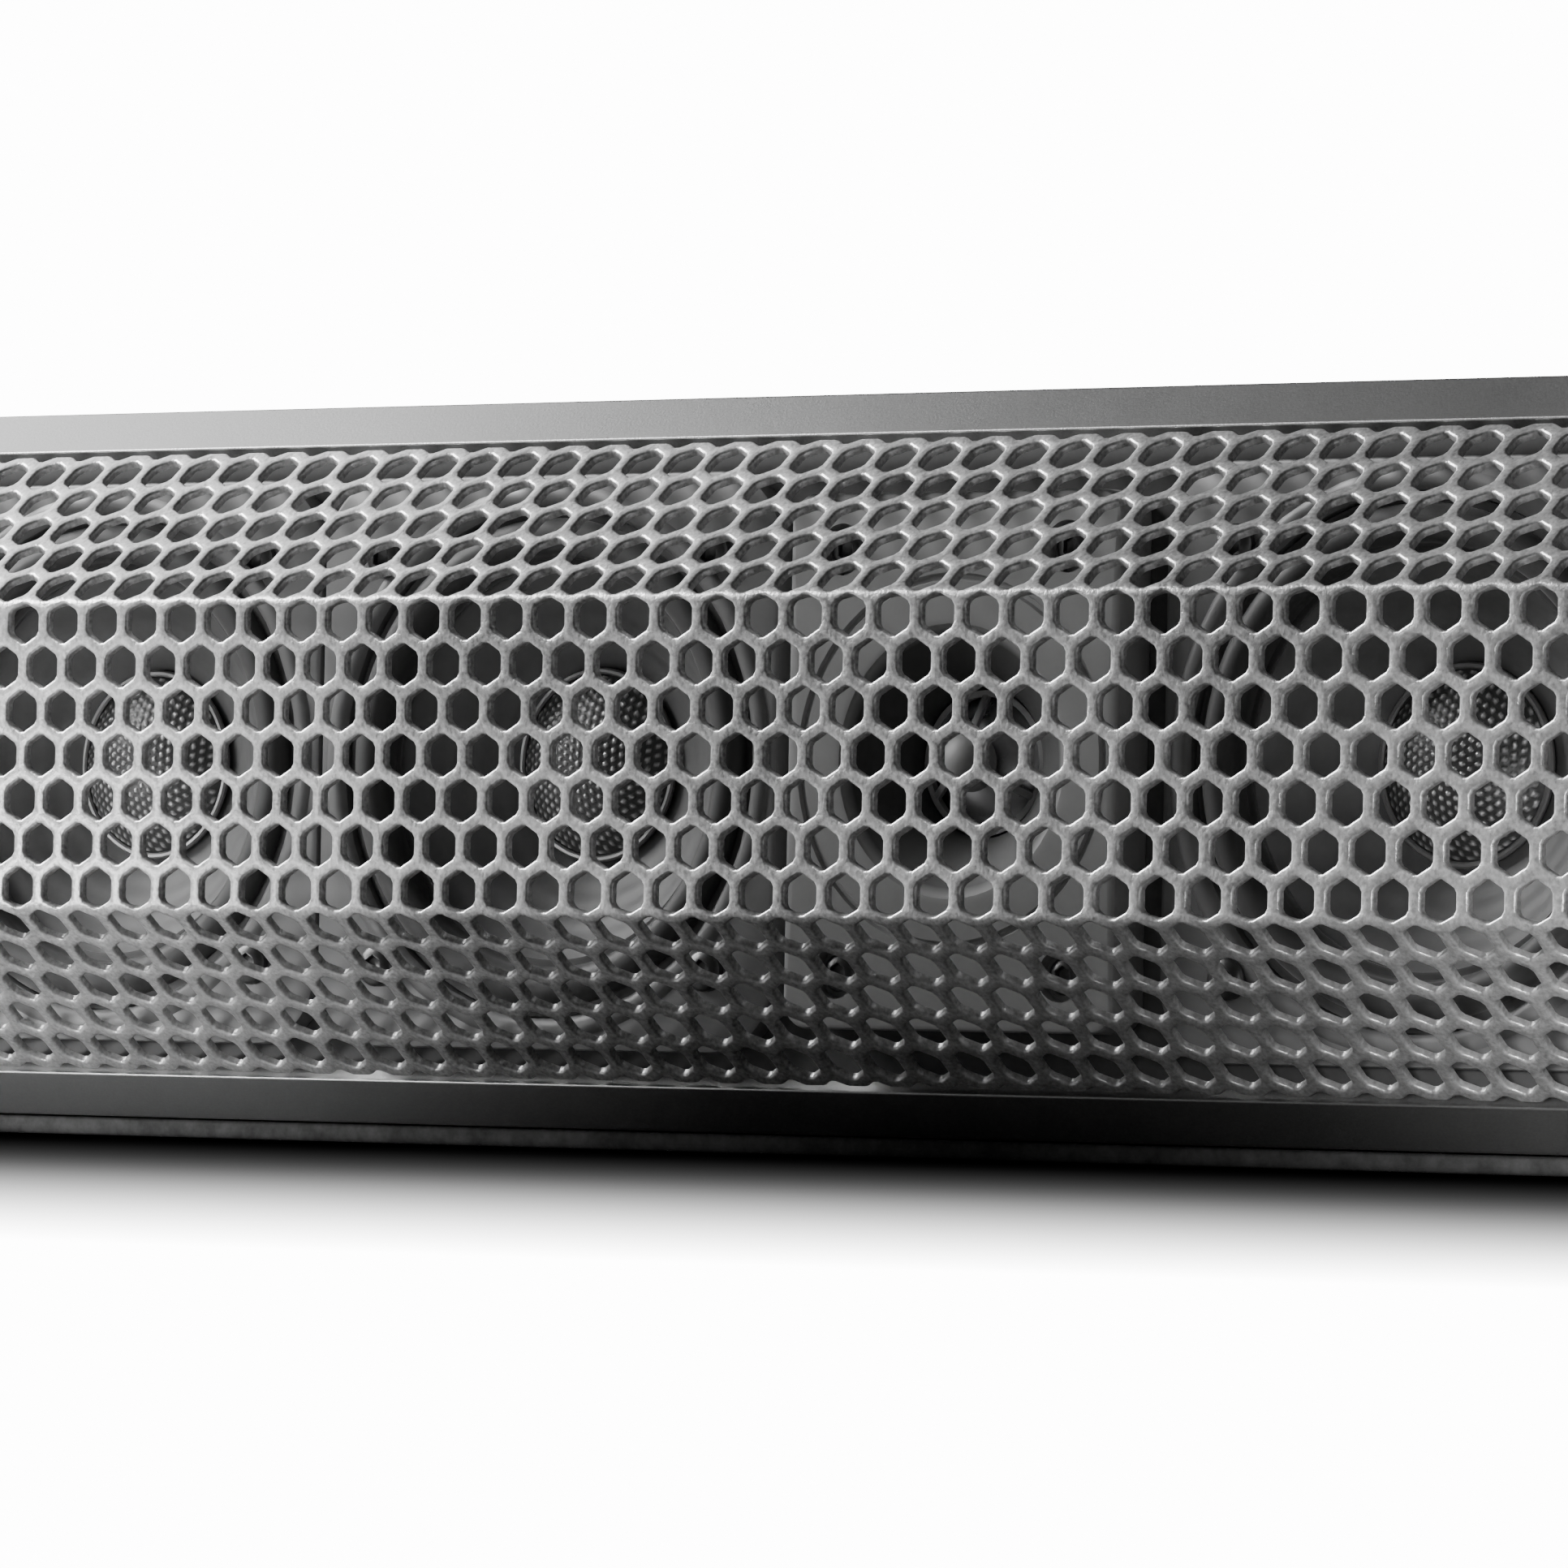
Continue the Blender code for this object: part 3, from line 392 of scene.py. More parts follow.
finishes = {
    # the grille's strongly lighter edges are a painted highlight along the holes' rims
    "grille": {"colour": 0.40, "metallic": 0.6, "roughness": 0.34, "grain": 1500.0, "spread": 1.7,
               "bump": 1.0, "bumpDepth": 0.00008, "wearAndHighlight": 0.9, "wearAndHighlightReach": 0.51, "wearAndHighlightColour": 0.9,
               "wearAndHighlightScale": 1500.0},
    "housing": {"colour": 0.32, "metallic": 0.9, "roughness": 0.36, "grain": 2600.0, "spread": 0.35,
                "bump": 0.6, "wearAndHighlight": 0.0},
    "endCap": {"colour": (0.045, 0.045, 0.047), "roughness": 0.42, "grain": 1500.0, "bump": 0.3,
               "wearAndHighlight": 0.25, "wearAndHighlightColour": 0.16},
    "baffle": {"colour": 0.05, "roughness": 0.75, "grain": 600.0, "bump": 0.5},
    "basket": {"colour": 0.17, "metallic": 0.2, "roughness": 0.5, "grain": 1400.0, "bump": 0.25,
               "wearAndHighlightColour": 0.4},
    "surround": {"colour": 0.045, "roughness": 0.55, "grain": 1200.0, "bump": 0.2, "sheen": 0.2},
    "cone": {"colour": 0.14, "roughness": 0.5, "grain": 500.0, "spread": 0.25, "bump": 0.35},
    # the dome's darker second colour is painted shade between its beads
    "dome": {"colour": 0.75, "paintedShadeColour": 0.10, "metallic": 0.5, "roughness": 0.4, "grain": 1500.0,
             "bump": 0.05},
    "domeRing": {"colour": 0.30, "metallic": 0.6, "roughness": 0.35, "grain": 1200.0},
    "motor": {"colour": (0.5, 0.5, 0.51), "metallic": 1.0, "roughness": 0.33, "grain": 500.0},
    # the plate's darker second colour is painted shade inside the horn
    "tweeterPlate": {"colour": 0.27, "paintedShadeColour": 0.05, "roughness": 0.65, "grain": 1300.0, "bump": 0.2,
                     "wearAndHighlight": 0.0},
    "tweeterDome": {"colour": (0.55, 0.55, 0.56), "metallic": 0.9, "roughness": 0.3, "bump": 0.05},
    "plug": {"colour": 0.3, "metallic": 0.1, "roughness": 0.6, "grain": 1200.0},
    "screw": {"colour": 0.10, "metallic": 0.9, "roughness": 0.35, "grain": 1500.0, "wearAndHighlight": 0.5},
    "board": {"colour": (0.015, 0.09, 0.035), "spread": 0.3, "bump": 0.4},
    "plain": {"colour": 0.05, "roughness": 0.55, "bump": 0.25},
    "rearPanel": {"colour": (0.035, 0.035, 0.036), "roughness": 0.5, "grain": 1600.0, "bump": 0.35,
                  "wearAndHighlight": 0.0},
    "socket": {"colour": 0.012, "roughness": 0.38, "grain": 1400.0, "bump": 0.2, "wearAndHighlightColour": 0.08},
    "nickel": {"colour": (0.62, 0.6, 0.56), "metallic": 1.0, "roughness": 0.24, "grain": 1800.0,
               "bump": 0.05},
    "rocker": {"colour": 0.018, "roughness": 0.3, "grain": 1200.0, "bump": 0.12, "wearAndHighlightColour": 0.1},
    "key": {"colour": (0.05, 0.05, 0.052), "roughness": 0.45, "grain": 1500.0, "bump": 0.25, "wearAndHighlight": 0.4,
            "wearAndHighlightColour": 0.2},
    # black rubber, made darker still as a painted shade under the bar
    "foot": {"colour": 0.004, "roughness": 0.85, "specular": 0.1, "grain": 1100.0, "bump": 0.4},
    "copper": {"colour": (0.5, 0.2, 0.09), "metallic": 0.9, "roughness": 0.35, "grain": 700.0,
               "stretch": (0.1, 1.0, 1.0), "bump": 0.4},
    "loom": {"colour": 0.03, "roughness": 0.5, "grain": 500.0, "stretch": (0.4, 1.0, 1.0), "bump": 0.6},
    "fins": {"colour": (0.5, 0.5, 0.51), "metallic": 1.0, "stretch": (1.0, 1.0, 0.05), "bump": 0.2},
    "sleeve": {"colour": (0.02, 0.022, 0.06), "roughness": 0.35, "bump": 0.1},
}
made = {name: finish(name, look) for name, look in finishes.items()}


grille = {
    "pitch": 7.5,            # from hole to hole along a row
    "holeAcross": 5.5,       # between a hole's flat sides
    "corner": 0.7,           # rounding of a hole's corners
    "roll": 0.38,            # how far the punched edge rolls in
    "thickness": 1.2,
    "rows": 9,               # rows each side of the middle one; the outermost is cut through
    "facetStretch": 1.14,    # rows stand a little further apart on the facets
    "facet": 38.2,
    "bend": 1.1,             # half the width of the bend at each fold
    "halfLength": bar["halfLength"] - 5.3,
}


def holeLattice():
    # centres of a triangular lattice; even rows, the middle one too, stand half a pitch aside
    g = grille
    columns = np.arange(-int(g["halfLength"] / g["pitch"]) - 2, int(g["halfLength"] / g["pitch"]) + 3)
    rows = np.arange(-g["rows"], g["rows"] + 1)
    r, c = np.meshgrid(rows, columns, indexing="ij")
    across = (c + 0.5 * (r % 2 == 0)) * g["pitch"]
    up = r * g["pitch"] * math.sin(math.radians(60))
    return np.stack([across.ravel(), up.ravel()], -1)


def hexCorners(radius):
    t = np.radians(90 + 60 * np.arange(6))
    return np.stack([np.cos(t), np.sin(t)], -1) * radius


def roundedHex(halfAcross, corner):
    # twelve points: each corner of a hexagon is cut between the ends of its arc
    corners = hexCorners(halfAcross / math.cos(math.radians(30)))
    cut = corner * math.tan(math.radians(30)) / np.linalg.norm(corners[1] - corners[0])
    last = corners + (np.roll(corners, 1, 0) - corners) * cut
    following = corners + (np.roll(corners, -1, 0) - corners) * cut
    return np.stack([last, following], 1).reshape(12, 2)


def cellTemplate(pitch, across, corner, roll, thickness):
    # one cell of the sheet: the hexagon between its neighbours, less the hole, with a rolled front edge
    half = across / 2
    edge = hexCorners(pitch / math.sqrt(3))
    slant = roll * (1 - math.sqrt(0.5))
    levels = [
        (half + roll, 0.0),
        (half + slant, slant),
        (half, roll),
        (half, thickness),
    ]
    rings = [np.column_stack([roundedHex(h, corner + h - half), np.full(12, u)]) for h, u in levels]
    front = np.column_stack([edge, np.zeros(6)])
    back = np.column_stack([edge, np.full(6, thickness)])
    points = np.concatenate([front] + rings + [back])
    k = np.arange(6)
    n = (k + 1) % 6
    firstRing = 6
    lastRing = 6 + 12 * (len(rings) - 1)
    backEdge = lastRing + 12
    quads = [np.stack([k, n, firstRing + 2 * n, firstRing + 2 * k + 1], -1)]
    tris = [np.stack([k, firstRing + 2 * k + 1, firstRing + 2 * k], -1)]
    i = np.arange(12)
    j = (i + 1) % 12
    for ring in range(len(rings) - 1):
        a = firstRing + 12 * ring
        quads.append(np.stack([a + i, a + j, a + 12 + j, a + 12 + i], -1))
    quads.append(np.stack([backEdge + k, lastRing + 2 * k + 1, lastRing + 2 * n, backEdge + n], -1))
    tris.append(np.stack([backEdge + k, lastRing + 2 * k, lastRing + 2 * k + 1], -1))
    return points, np.concatenate(quads), np.concatenate(tris)


def spreadCells(centres, template):
    # the same cell at every centre, with the edges between neighbours made one
    points, quads, tris = template
    shift = np.column_stack([centres, np.zeros(len(centres))])
    everywhere = (points[None] + shift[:, None]).reshape(-1, 3)
    first = np.arange(len(centres))[:, None, None] * len(points)
    _, keep, index = np.unique(np.round(everywhere, 3), axis=0, return_index=True, return_inverse=True)
    index = index.reshape(-1)
    return everywhere[keep], index[(quads + first).reshape(-1, 4)], index[(tris + first).reshape(-1, 3)]


def cutFlat(form, point, normal, keepBoth=False):
    # slices the flat sheet; the far side goes, and the cut is closed with small faces
    parts = form.verts[:] + form.edges[:] + form.faces[:]
    cut = bmesh.ops.bisect_plane(form, geom=parts, plane_co=point, plane_no=normal, dist=0.002,
                                 clear_outer=not keepBoth)
    if not keepBoth:
        rim = [e for e in cut["geom_cut"] if isinstance(e, bmesh.types.BMEdge) and e.is_boundary]
        bmesh.ops.edgenet_fill(form, edges=rim)


def foldSheet(flat):
    # (across, up, under) to the folded sheet: flat front, an arc at each fold, then the sloping facet
    g = grille
    slope, fold, bend = bar["slope"], bar["foldHeight"], g["bend"]
    across, up, under = flat.T
    side = np.sign(up)
    past = np.abs(up) - fold
    past = np.where(past > 0, past * g["facetStretch"], past)
    turn = np.clip((past + bend) / (2 * bend), 0, 1) * slope
    arcRadius = bend / math.tan(slope / 2)
    arcDepth = arcRadius * (1 - np.cos(turn))
    arcHeight = fold - bend + arcRadius * np.sin(turn)
    straight = np.where(past > bend, past - bend, 0)
    depth = np.where(past < -bend, 0, arcDepth + straight * math.sin(slope))
    height = np.where(past < -bend, np.abs(up), arcHeight + straight * math.cos(slope))
    depth = depth + under * np.cos(turn)
    height = height - under * np.sin(turn)
    return np.column_stack([across, depth, side * height])


def makeGrille():
    g = grille
    template = cellTemplate(g["pitch"], g["holeAcross"], g["corner"], g["roll"], g["thickness"])
    points, quads, tris = spreadCells(holeLattice(), template)
    mesh = newMesh("grilleSheet", points, [quads, tris])
    form = bmesh.new()
    form.from_mesh(mesh)
    edge = bar["foldHeight"] + g["facet"] / g["facetStretch"]
    for side in (-1, 1):
        cutFlat(form, (0, side * edge, 0), (0, side, 0))
        cutFlat(form, (side * g["halfLength"], 0, 0), (side, 0, 0))
        for share in (-1, -1 / 3, 1 / 3, 1):
            past = share * g["bend"]
            past = past / g["facetStretch"] if past > 0 else past
            cutFlat(form, (0, side * (bar["foldHeight"] + past), 0), (0, side, 0), keepBoth=True)
    bmesh.ops.recalc_face_normals(form, faces=form.faces)
    form.to_mesh(mesh)
    form.free()
    setPoints(mesh, toWorld(foldSheet(meshPoints(mesh).astype(float))))
    showPiece("grille_sheet", mesh, "grille", "grille", "grille", sharp=50)


makeGrille()
print("grille done")


housing = {
    "wall": 2.5,
    "backWall": 3.0,
    "lipStart": 39.7,        # along the facet, from the fold
    "lipRound": 0.35,
    "shoulderRound": 1.6,    # where the lip meets the flat top
    "backRound": 5.0,
    "halfLength": bar["halfLength"] - 5.0,
    "windowHalf": (65.0, 21.0),
    "keyHalf": (7.4, 4.9),
}


def housingOutline():
    # the section of the channel: sloping lips, flat top and bottom, round back corners
    h = housing
    full = bar["halfHeight"]
    rim = (full - bar["foldHeight"]) / math.cos(bar["slope"])
    inner = full - h["wall"]
    innerRim = (inner - bar["foldHeight"] + h["wall"] * math.sin(bar["slope"])) / math.cos(bar["slope"])
    outside = [facetPoint(h["lipStart"], 0), facetPoint(rim, 0), (bar["depth"], full)]
    inside = [facetPoint(h["lipStart"], h["wall"]), facetPoint(innerRim, h["wall"]),
              (bar["depth"] - h["backWall"], inner)]
    outsideRound = [h["lipRound"], h["shoulderRound"], h["backRound"]]
    insideRound = [h["lipRound"], 0.5, 2.0]
    points = mirrored(outside) + list(reversed(mirrored(inside)))
    radii = outsideRound + outsideRound[::-1] + insideRound + insideRound[::-1]
    return filleted(points, radii, steps=6)


def cutWith(mesh, cutterMeshes):
    # the cutters are taken out exactly, and what is left becomes the mesh
    body = bpy.data.objects.new("cutBody", mesh)
    bpy.context.collection.objects.link(body)
    cutters = []
    for cutterMesh in cutterMeshes:
        cutter = bpy.data.objects.new("cutter", cutterMesh)
        bpy.context.collection.objects.link(cutter)
        cutters.append(cutter)
        cut = body.modifiers.new("Cut", "BOOLEAN")
        cut.object = cutter
        cut.operation = "DIFFERENCE"
        cut.solver = "EXACT"
    ready = body.evaluated_get(bpy.context.evaluated_depsgraph_get())
    result = bpy.data.meshes.new_from_object(ready)
    for thing in [body] + cutters:
        bpy.data.objects.remove(thing, do_unlink=True)
    return result


def windowCutter(half, corner, depthFrom, depthTo, centre=(0.0, 0.0)):
    ring = roundedBox(half[0], half[1], corner)
    loops = [atDepth(ring, depth, centre) for depth in (depthFrom, depthTo)]
    return loopMesh("window", loops)


def keyCutter(across, half, corner, depth, low, high):
    ring = roundedBox(half[0], half[1], corner) + (across, depth)
    return loopMesh("keyHole", [atHeight(ring, level) for level in (low, high)])


def makeHousing():
    h = housing
    outline = housingOutline()
    loops = [atAcross(outline, x) for x in (-h["halfLength"], h["halfLength"])]
    mesh = loopMesh("housing", loops)
    cutters = [windowCutter(h["windowHalf"], 3.0, bar["depth"] - 8, bar["depth"] + 4)]
    for node in ("key_1", "key_2", "key_3"):
        low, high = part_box(node)
        across = (low.x + high.x) / 2 / mm
        depth = ((low.y + high.y) / 2 - frontPlane) / mm
        full = bar["halfHeight"]
        cutters.append(keyCutter(across, h["keyHalf"], 2.3, depth, full - 4, full + 3))
    mesh = cutWith(mesh, cutters)
    showPiece("housing_channel", mesh, "housing", "housing", "housing", sharp=28, flats=True)


makeHousing()
print("housing done")


endCap = {"thickness": 4.7, "edge": 1.3, "rimWidth": 4.5, "sink": 0.5, "corners": (3.0, 3.0, 5.0)}


def insetCorners(corners, by):
    # each corner of a convex outline moves in by the same distance from both of its sides
    ahead = np.roll(corners, -1, 0) - corners
    behind = corners - np.roll(corners, 1, 0)
    ahead /= np.linalg.norm(ahead, axis=1, keepdims=True)
    behind /= np.linalg.norm(behind, axis=1, keepdims=True)
    along = ahead + behind
    along /= np.linalg.norm(along, axis=1, keepdims=True)
    stretch = np.sum(along * ahead, axis=1, keepdims=True)
    return corners + np.column_stack([along[:, 1], -along[:, 0]]) * by / stretch


def makeEndCaps():
    e = endCap
    full = bar["halfHeight"]
    rim = (full - bar["foldHeight"]) / math.cos(bar["slope"])
    upper = [facetPoint(0, 0), facetPoint(rim, 0), (bar["depth"], full)]
    corners = np.array(mirrored(upper), float)
    rounding = list(e["corners"]) + list(e["corners"])[::-1]
    turn = np.radians(np.linspace(0, 90, 7))
    levels = [(0.0, e["thickness"])]
    levels += [(e["edge"] * (1 - math.cos(t)), e["edge"] * (1 - math.sin(t))) for t in turn]
    levels += [(e["rimWidth"], 0.0), (e["rimWidth"] + 0.35, e["sink"] * 0.3),
               (e["rimWidth"] + 0.7, e["sink"]), (e["rimWidth"] + 1.4, e["sink"])]
    for name, side in (("left", -1), ("right", 1)):
        loops = []
        for inward, below in levels:
            ring = filleted(insetCorners(corners, inward), [max(r - inward, 0.8) for r in rounding], steps=8)
            loops.append(atAcross(ring, side * (bar["halfLength"] - below)))
        cap = loopMesh("endCap", loops)
        showPiece(f"end_cap_{name}_shell", cap, "endCap", "end_cap", f"end_cap_{name}", sharp=40, flats=True)


makeEndCaps()
print("end caps done")


def joined(name, meshes):
    # several meshes become one, as for a set of screws
    form = bmesh.new()
    for mesh in meshes:
        form.from_mesh(mesh)
        bpy.data.meshes.remove(mesh)
    mesh = bpy.data.meshes.new(name)
    form.to_mesh(mesh)
    form.free()
    return mesh


def shiftedCopy(mesh, across, depth=0.0, height=0.0):
    copy = mesh.copy()
    setPoints(copy, meshPoints(copy) + np.array([across, depth, height], np.float32) * mm)
    return copy


screw = {"radius": 3.0, "height": 1.7, "crown": 0.5, "socket": 1.35, "socketDepth": 1.1, "steps": 24}


def screwMesh(scale=1.0):
    # a low crowned head; its socket's rings are hexagons, r = a / cos(angle to the nearest flat)
    s = screw
    t = np.arange(s["steps"]) * 2 * np.pi / s["steps"]
    hexagon = 1 / np.cos((t + np.pi / 6) % (np.pi / 3) - np.pi / 6)
    levels = [
        (s["radius"], 0.0, False), (s["radius"], s["height"] - s["crown"] - 0.2, False),
        (s["radius"] - 0.12, s["height"] - s["crown"], False),
        (s["radius"] * 0.85, s["height"] - s["crown"] * 0.45, False),
        (s["radius"] * 0.6, s["height"] - 0.06, False),
        (s["socket"] * 1.22, s["height"], False), (s["socket"] * 1.08, s["height"], True),
        (s["socket"], s["height"] - 0.12, True), (s["socket"], s["height"] - s["socketDepth"], True),
        (s["socket"] * 0.4, s["height"] - s["socketDepth"] - 0.3, True),
    ]
    loops = []
    for radius, rise, isHexagon in levels:
        r = radius * (hexagon if isHexagon else 1.0) * scale
        loops.append(np.column_stack([r * np.cos(t), np.full(len(t), -rise * scale), r * np.sin(t)]))
    return loopMesh("screw", loops)


def fourCorners(x, z, across=0.0):
    return [(across + i * x, j * z) for i in (-1, 1) for j in (-1, 1)]


def screwSet(name, places, depth, scale=1.0, facingBack=False):
    # one head at each (across, height), standing on the plane at that depth
    head = screwMesh(scale)
    if facingBack:
        points = meshPoints(head)
        points[:, 1] = 2 * frontPlane - points[:, 1]
        setPoints(head, points)
        head.flip_normals()
    heads = [shiftedCopy(head, across, depth, height) for across, height in places]
    bpy.data.meshes.remove(head)
    showPiece(name, joined(name, heads), "screw", None, sharp=30)


woofer = {
    "frameHalf": 41.8, "frameCorner": 11.0, "face": 29.2, "flangeBack": 32.4, "edge": 0.7,
    "opening": 37.3, "bead": 39.3,
    "cageBack": 53.0, "cageOuter": 24.0, "cageInner": 21.6, "cageBore": 15.5,
    "windowHalf": (50.0, 8.0), "windowCorner": 3.0,
    "screwPlace": 30.0,
    "coneRim": 29.6, "rollMiddle": 32.85, "rollWidth": 2.75, "rollRise": 2.6,
    "seat": 30.5, "lip": 32.0, "coneDepth": 32.7,
    "coneNeck": 44.0, "coneSheet": 0.7, "coneSag": 0.9, "ribPitch": 3.1, "ribRise": 0.10,
    "coilInner": 12.3, "coilOuter": 13.0, "coilBack": 60.0,
    "domeRadius": 13.3, "domeBase": 42.0, "domeRise": 5.0, "beadPitch": 1.35, "beadRise": 0.24,
}


def basketMesh():
    w = woofer
    flange = [(0.0, w["flangeBack"]), (0.0, w["face"] + w["edge"]), (0.2, w["face"] + w["edge"] * 0.3),
              (w["edge"], w["face"])]
    half, corner, per = w["frameHalf"], w["frameCorner"], 12
    outer = [atDepth(roundedBox(half - by, half - by, corner - by, per), depth) for by, depth in flange]
    # the front: a low bead round the opening, then down to the ledge that carries the surround
    profile = [
        (w["bead"] + 1.3, w["face"]), (w["bead"] + 0.9, w["face"] - 0.35), (w["bead"] + 0.2, w["face"] - 0.6),
        (w["bead"] - 0.8, w["face"] - 0.6), (w["opening"] + 0.5, w["face"] - 0.3),
        (w["opening"], w["face"] + 0.3), (w["opening"], w["face"] + 2.4),
        (w["opening"] - 2.1, w["face"] + 2.4), (w["opening"] - 2.1, w["face"] + 4.8),
        (w["cageInner"], w["cageBack"] - 3.4), (w["cageBore"], w["cageBack"] - 3.0),
        (w["cageBore"], w["cageBack"]), (w["cageOuter"], w["cageBack"]),
        (w["cageOuter"], w["cageBack"] - 3.0), (w["opening"] + 1.2, w["flangeBack"]),
    ]
    round_ = [atDepth(roundLike(radius, per), depth) for radius, depth in profile]
    mesh = loopMesh("basket", outer + round_, closed=True)
    cutters = []
    for turn in (0, 60, 120):
        ring = roundedBox(*w["windowHalf"], w["windowCorner"])
        angle = math.radians(turn)
        turned = ring @ np.array([[math.cos(angle), math.sin(angle)], [-math.sin(angle), math.cos(angle)]])
        cutters.append(loopMesh("cageWindow", [atDepth(turned, w["flangeBack"] + 5.0),
                                               atDepth(turned, w["cageBack"] - 6.0)]))
    return cutWith(mesh, cutters)


def surroundMesh():
    # a half roll, r = middle + width cos t, depth = seat - rise sin t; its lip lies deeper, on the cone's rim
    w = woofer
    thick = 0.6
    t = np.linspace(0, np.pi, 17)
    middle, width = w["rollMiddle"], w["rollWidth"]
    rise = w["rollRise"] * np.sin(t)
    front = np.column_stack([middle + width * np.cos(t), w["seat"] - rise])
    behind = np.column_stack([middle + (width - thick * np.sin(t)) * np.cos(t), w["seat"] + thick - rise])
    edge, foot, rim = w["opening"] - 0.3, middle - width, w["coneRim"] - 0.9
    lip = [(foot - 0.1, w["lip"] - 0.4), (foot - 0.4, w["lip"]), (rim, w["lip"]), (rim, w["lip"] + thick),
           (foot + 0.1, w["lip"] + thick), (foot + 0.5, w["seat"] + thick + 0.2)]
    profile = np.concatenate([[(edge, w["seat"])], front, lip, behind[::-1][1:], [(edge, w["seat"] + thick)]])
    return turnedMesh("surround", profile, 96, closed=True)


def coneMesh():
    # the cone's line sags a little between rim and neck: depth = straight line + sag * 4 s (1 - s)
    w = woofer
    rimDepth, neckDepth, thick, sag = w["coneDepth"], w["coneNeck"], w["coneSheet"], w["coneSag"]
    s = np.linspace(0, 1, 24)
    radius = w["coneRim"] + (w["coilInner"] - w["coneRim"]) * s
    ribs = w["ribRise"] * np.cos(radius * 2 * np.pi / w["ribPitch"]) * (s > 0.12) * (s < 0.8)
    depth = rimDepth + (neckDepth - rimDepth) * s + sag * 4 * s * (1 - s) + ribs
    front = np.column_stack([radius, depth])
    behind = np.column_stack([radius, depth + thick])[:-1][::-1]
    coilBack, outside = w["coilBack"], w["coilOuter"]
    coil = [(w["coilInner"], coilBack), (outside, coilBack), (outside, neckDepth + thick)]
    profile = np.concatenate([front, coil, behind])
    return turnedMesh("cone", profile, 96, closed=True)


def beadField(x, y, pitch):
    # three cosines at 60 degrees peak on a triangular lattice; 1 on a bead's top, 0 between beads
    k = 4 * np.pi / (math.sqrt(3) * pitch)
    t = np.radians([0, 60, 120])
    waves = [np.cos(k * (x * math.cos(a) + y * math.sin(a))) for a in t]
    total = (sum(waves) + 1.5) / 4.5
    s = np.clip((total - 0.38) / 0.5, 0, 1)
    return s * s * (3 - 2 * s)


def ballPoints(radius, angle, turn, centre):
    # a sphere's points at an angle from its pole, which faces the front
    depth = centre - radius * np.cos(angle) + 0 * turn
    return np.stack([radius * np.sin(angle) * np.cos(turn), depth, radius * np.sin(angle) * np.sin(turn)], -1)


def domeMesh():
    # a spherical cap whose front carries rows of small round beads, and a smooth skin behind it
    w = woofer
    ball = (w["domeRadius"] ** 2 + w["domeRise"] ** 2) / (2 * w["domeRise"])
    widest = math.asin(w["domeRadius"] / ball)
    centre = w["domeBase"] - w["domeRise"] + ball
    rings, steps = 56, 168
    a = np.linspace(0, widest, rings)[:, None]
    t = (np.arange(steps) * 2 * np.pi / steps)[None]
    beads = beadField(ball * np.sin(a) * np.cos(t), ball * np.sin(a) * np.sin(t), w["beadPitch"])
    beads = beads * (a < widest * 0.97)
    front = ballPoints(ball + beads * w["beadRise"], a, t, centre)
    back = ballPoints(ball - 0.5, np.linspace(widest, 0, 8)[:, None], t, centre)
    grid = np.concatenate([front, back])
    mesh = newMesh("dome", toWorld(grid.reshape(-1, 3)), [gridFaces(len(grid), steps, closeColumns=True)])
    # painted shade: between the beads the dome takes its darker second colour
    shown = np.concatenate([1 - beads.ravel(), np.ones(len(back) * steps)])
    mesh.attributes.new("paintedShade", "FLOAT", "POINT").data.foreach_set("value", shown.astype(np.float32))
    return closeMesh(mesh, 2e-6)


def domeRingMesh():
    w = woofer
    r, d = w["domeRadius"] + 0.05, w["domeBase"]
    profile = [(r, d + 0.2), (r, d - 0.35), (r + 0.25, d - 0.6), (r + 0.65, d - 0.6), (r + 0.9, d - 0.3),
               (r + 0.9, d + 0.2)]
    return turnedMesh("domeRing", profile, 96, closed=True)


def makeWoofers():
    # each part is (name, mesh, finish, slot, does it stand for a CAD node)
    w = woofer
    parts = [
        ("basket", basketMesh(), "basket", "basket", True),
        ("surround", surroundMesh(), "surround", "surround", True),
        ("cone", coneMesh(), "cone", "cone", True),
        ("dust_dome", domeMesh(), "dome", "dust_dome", True),
        ("dome_ring", domeRingMesh(), "domeRing", "dust_dome", False),
    ]
    for number, across in enumerate(wooferPlaces, 1):
        moving = f"woofer_{number}_cone"
        bodies = {"basket": fixedBody, "surround": None}
        for part, shape, look, slot, standsFor in parts:
            node = f"{part}_{number}"
            replaced = [node] if standsFor else []
            body = bodies.get(part, moving)
            piece = showPiece(f"{node}_shape", shiftedCopy(shape, across), look, slot, *replaced, body=body)
            if part == "surround":
                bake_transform(piece)
        places = fourCorners(w["screwPlace"], w["screwPlace"], across)
        screwSet(f"basket_{number}_screws", places, w["face"])
    for part in parts:
        bpy.data.meshes.remove(part[1])


makeWoofers()
print("woofers done")


tweeter = {
    "half": (28.5, 38.0), "corner": 4.0, "face": 25.0, "back": 32.4, "edge": 0.8,
    "grooveRadius": 26.0, "grooveDepth": 0.5, "mouth": 19.0, "throat": 10.6, "throatBack": 37.5,
    "horn": 24.0, "screws": (19.4, 30.0), "recess": 3.7,
    "domeRadius": 9.8, "domeBase": 36.0, "domeRise": 4.6, "domeSheet": 0.4, "skirt": 5.0,
    "hornBack": 34.0, "plug": 4.2, "ringWidth": 0.9, "ringHalf": 0.6, "ribHalf": (0.6, 0.5),
}


def hornCurve(steps=14):
    # radius from mouth to throat falls as r = throat + (mouth - throat) (1 - s)^1.9 over the depth
    t = tweeter
    s = np.linspace(0, 1, steps)
    radius = t["throat"] + (t["mouth"] - t["throat"]) * (1 - s) ** 1.9
    depth = t["face"] + 0.5 + s * (t["hornBack"] - t["face"] - 0.5)
    return list(zip(radius, depth))


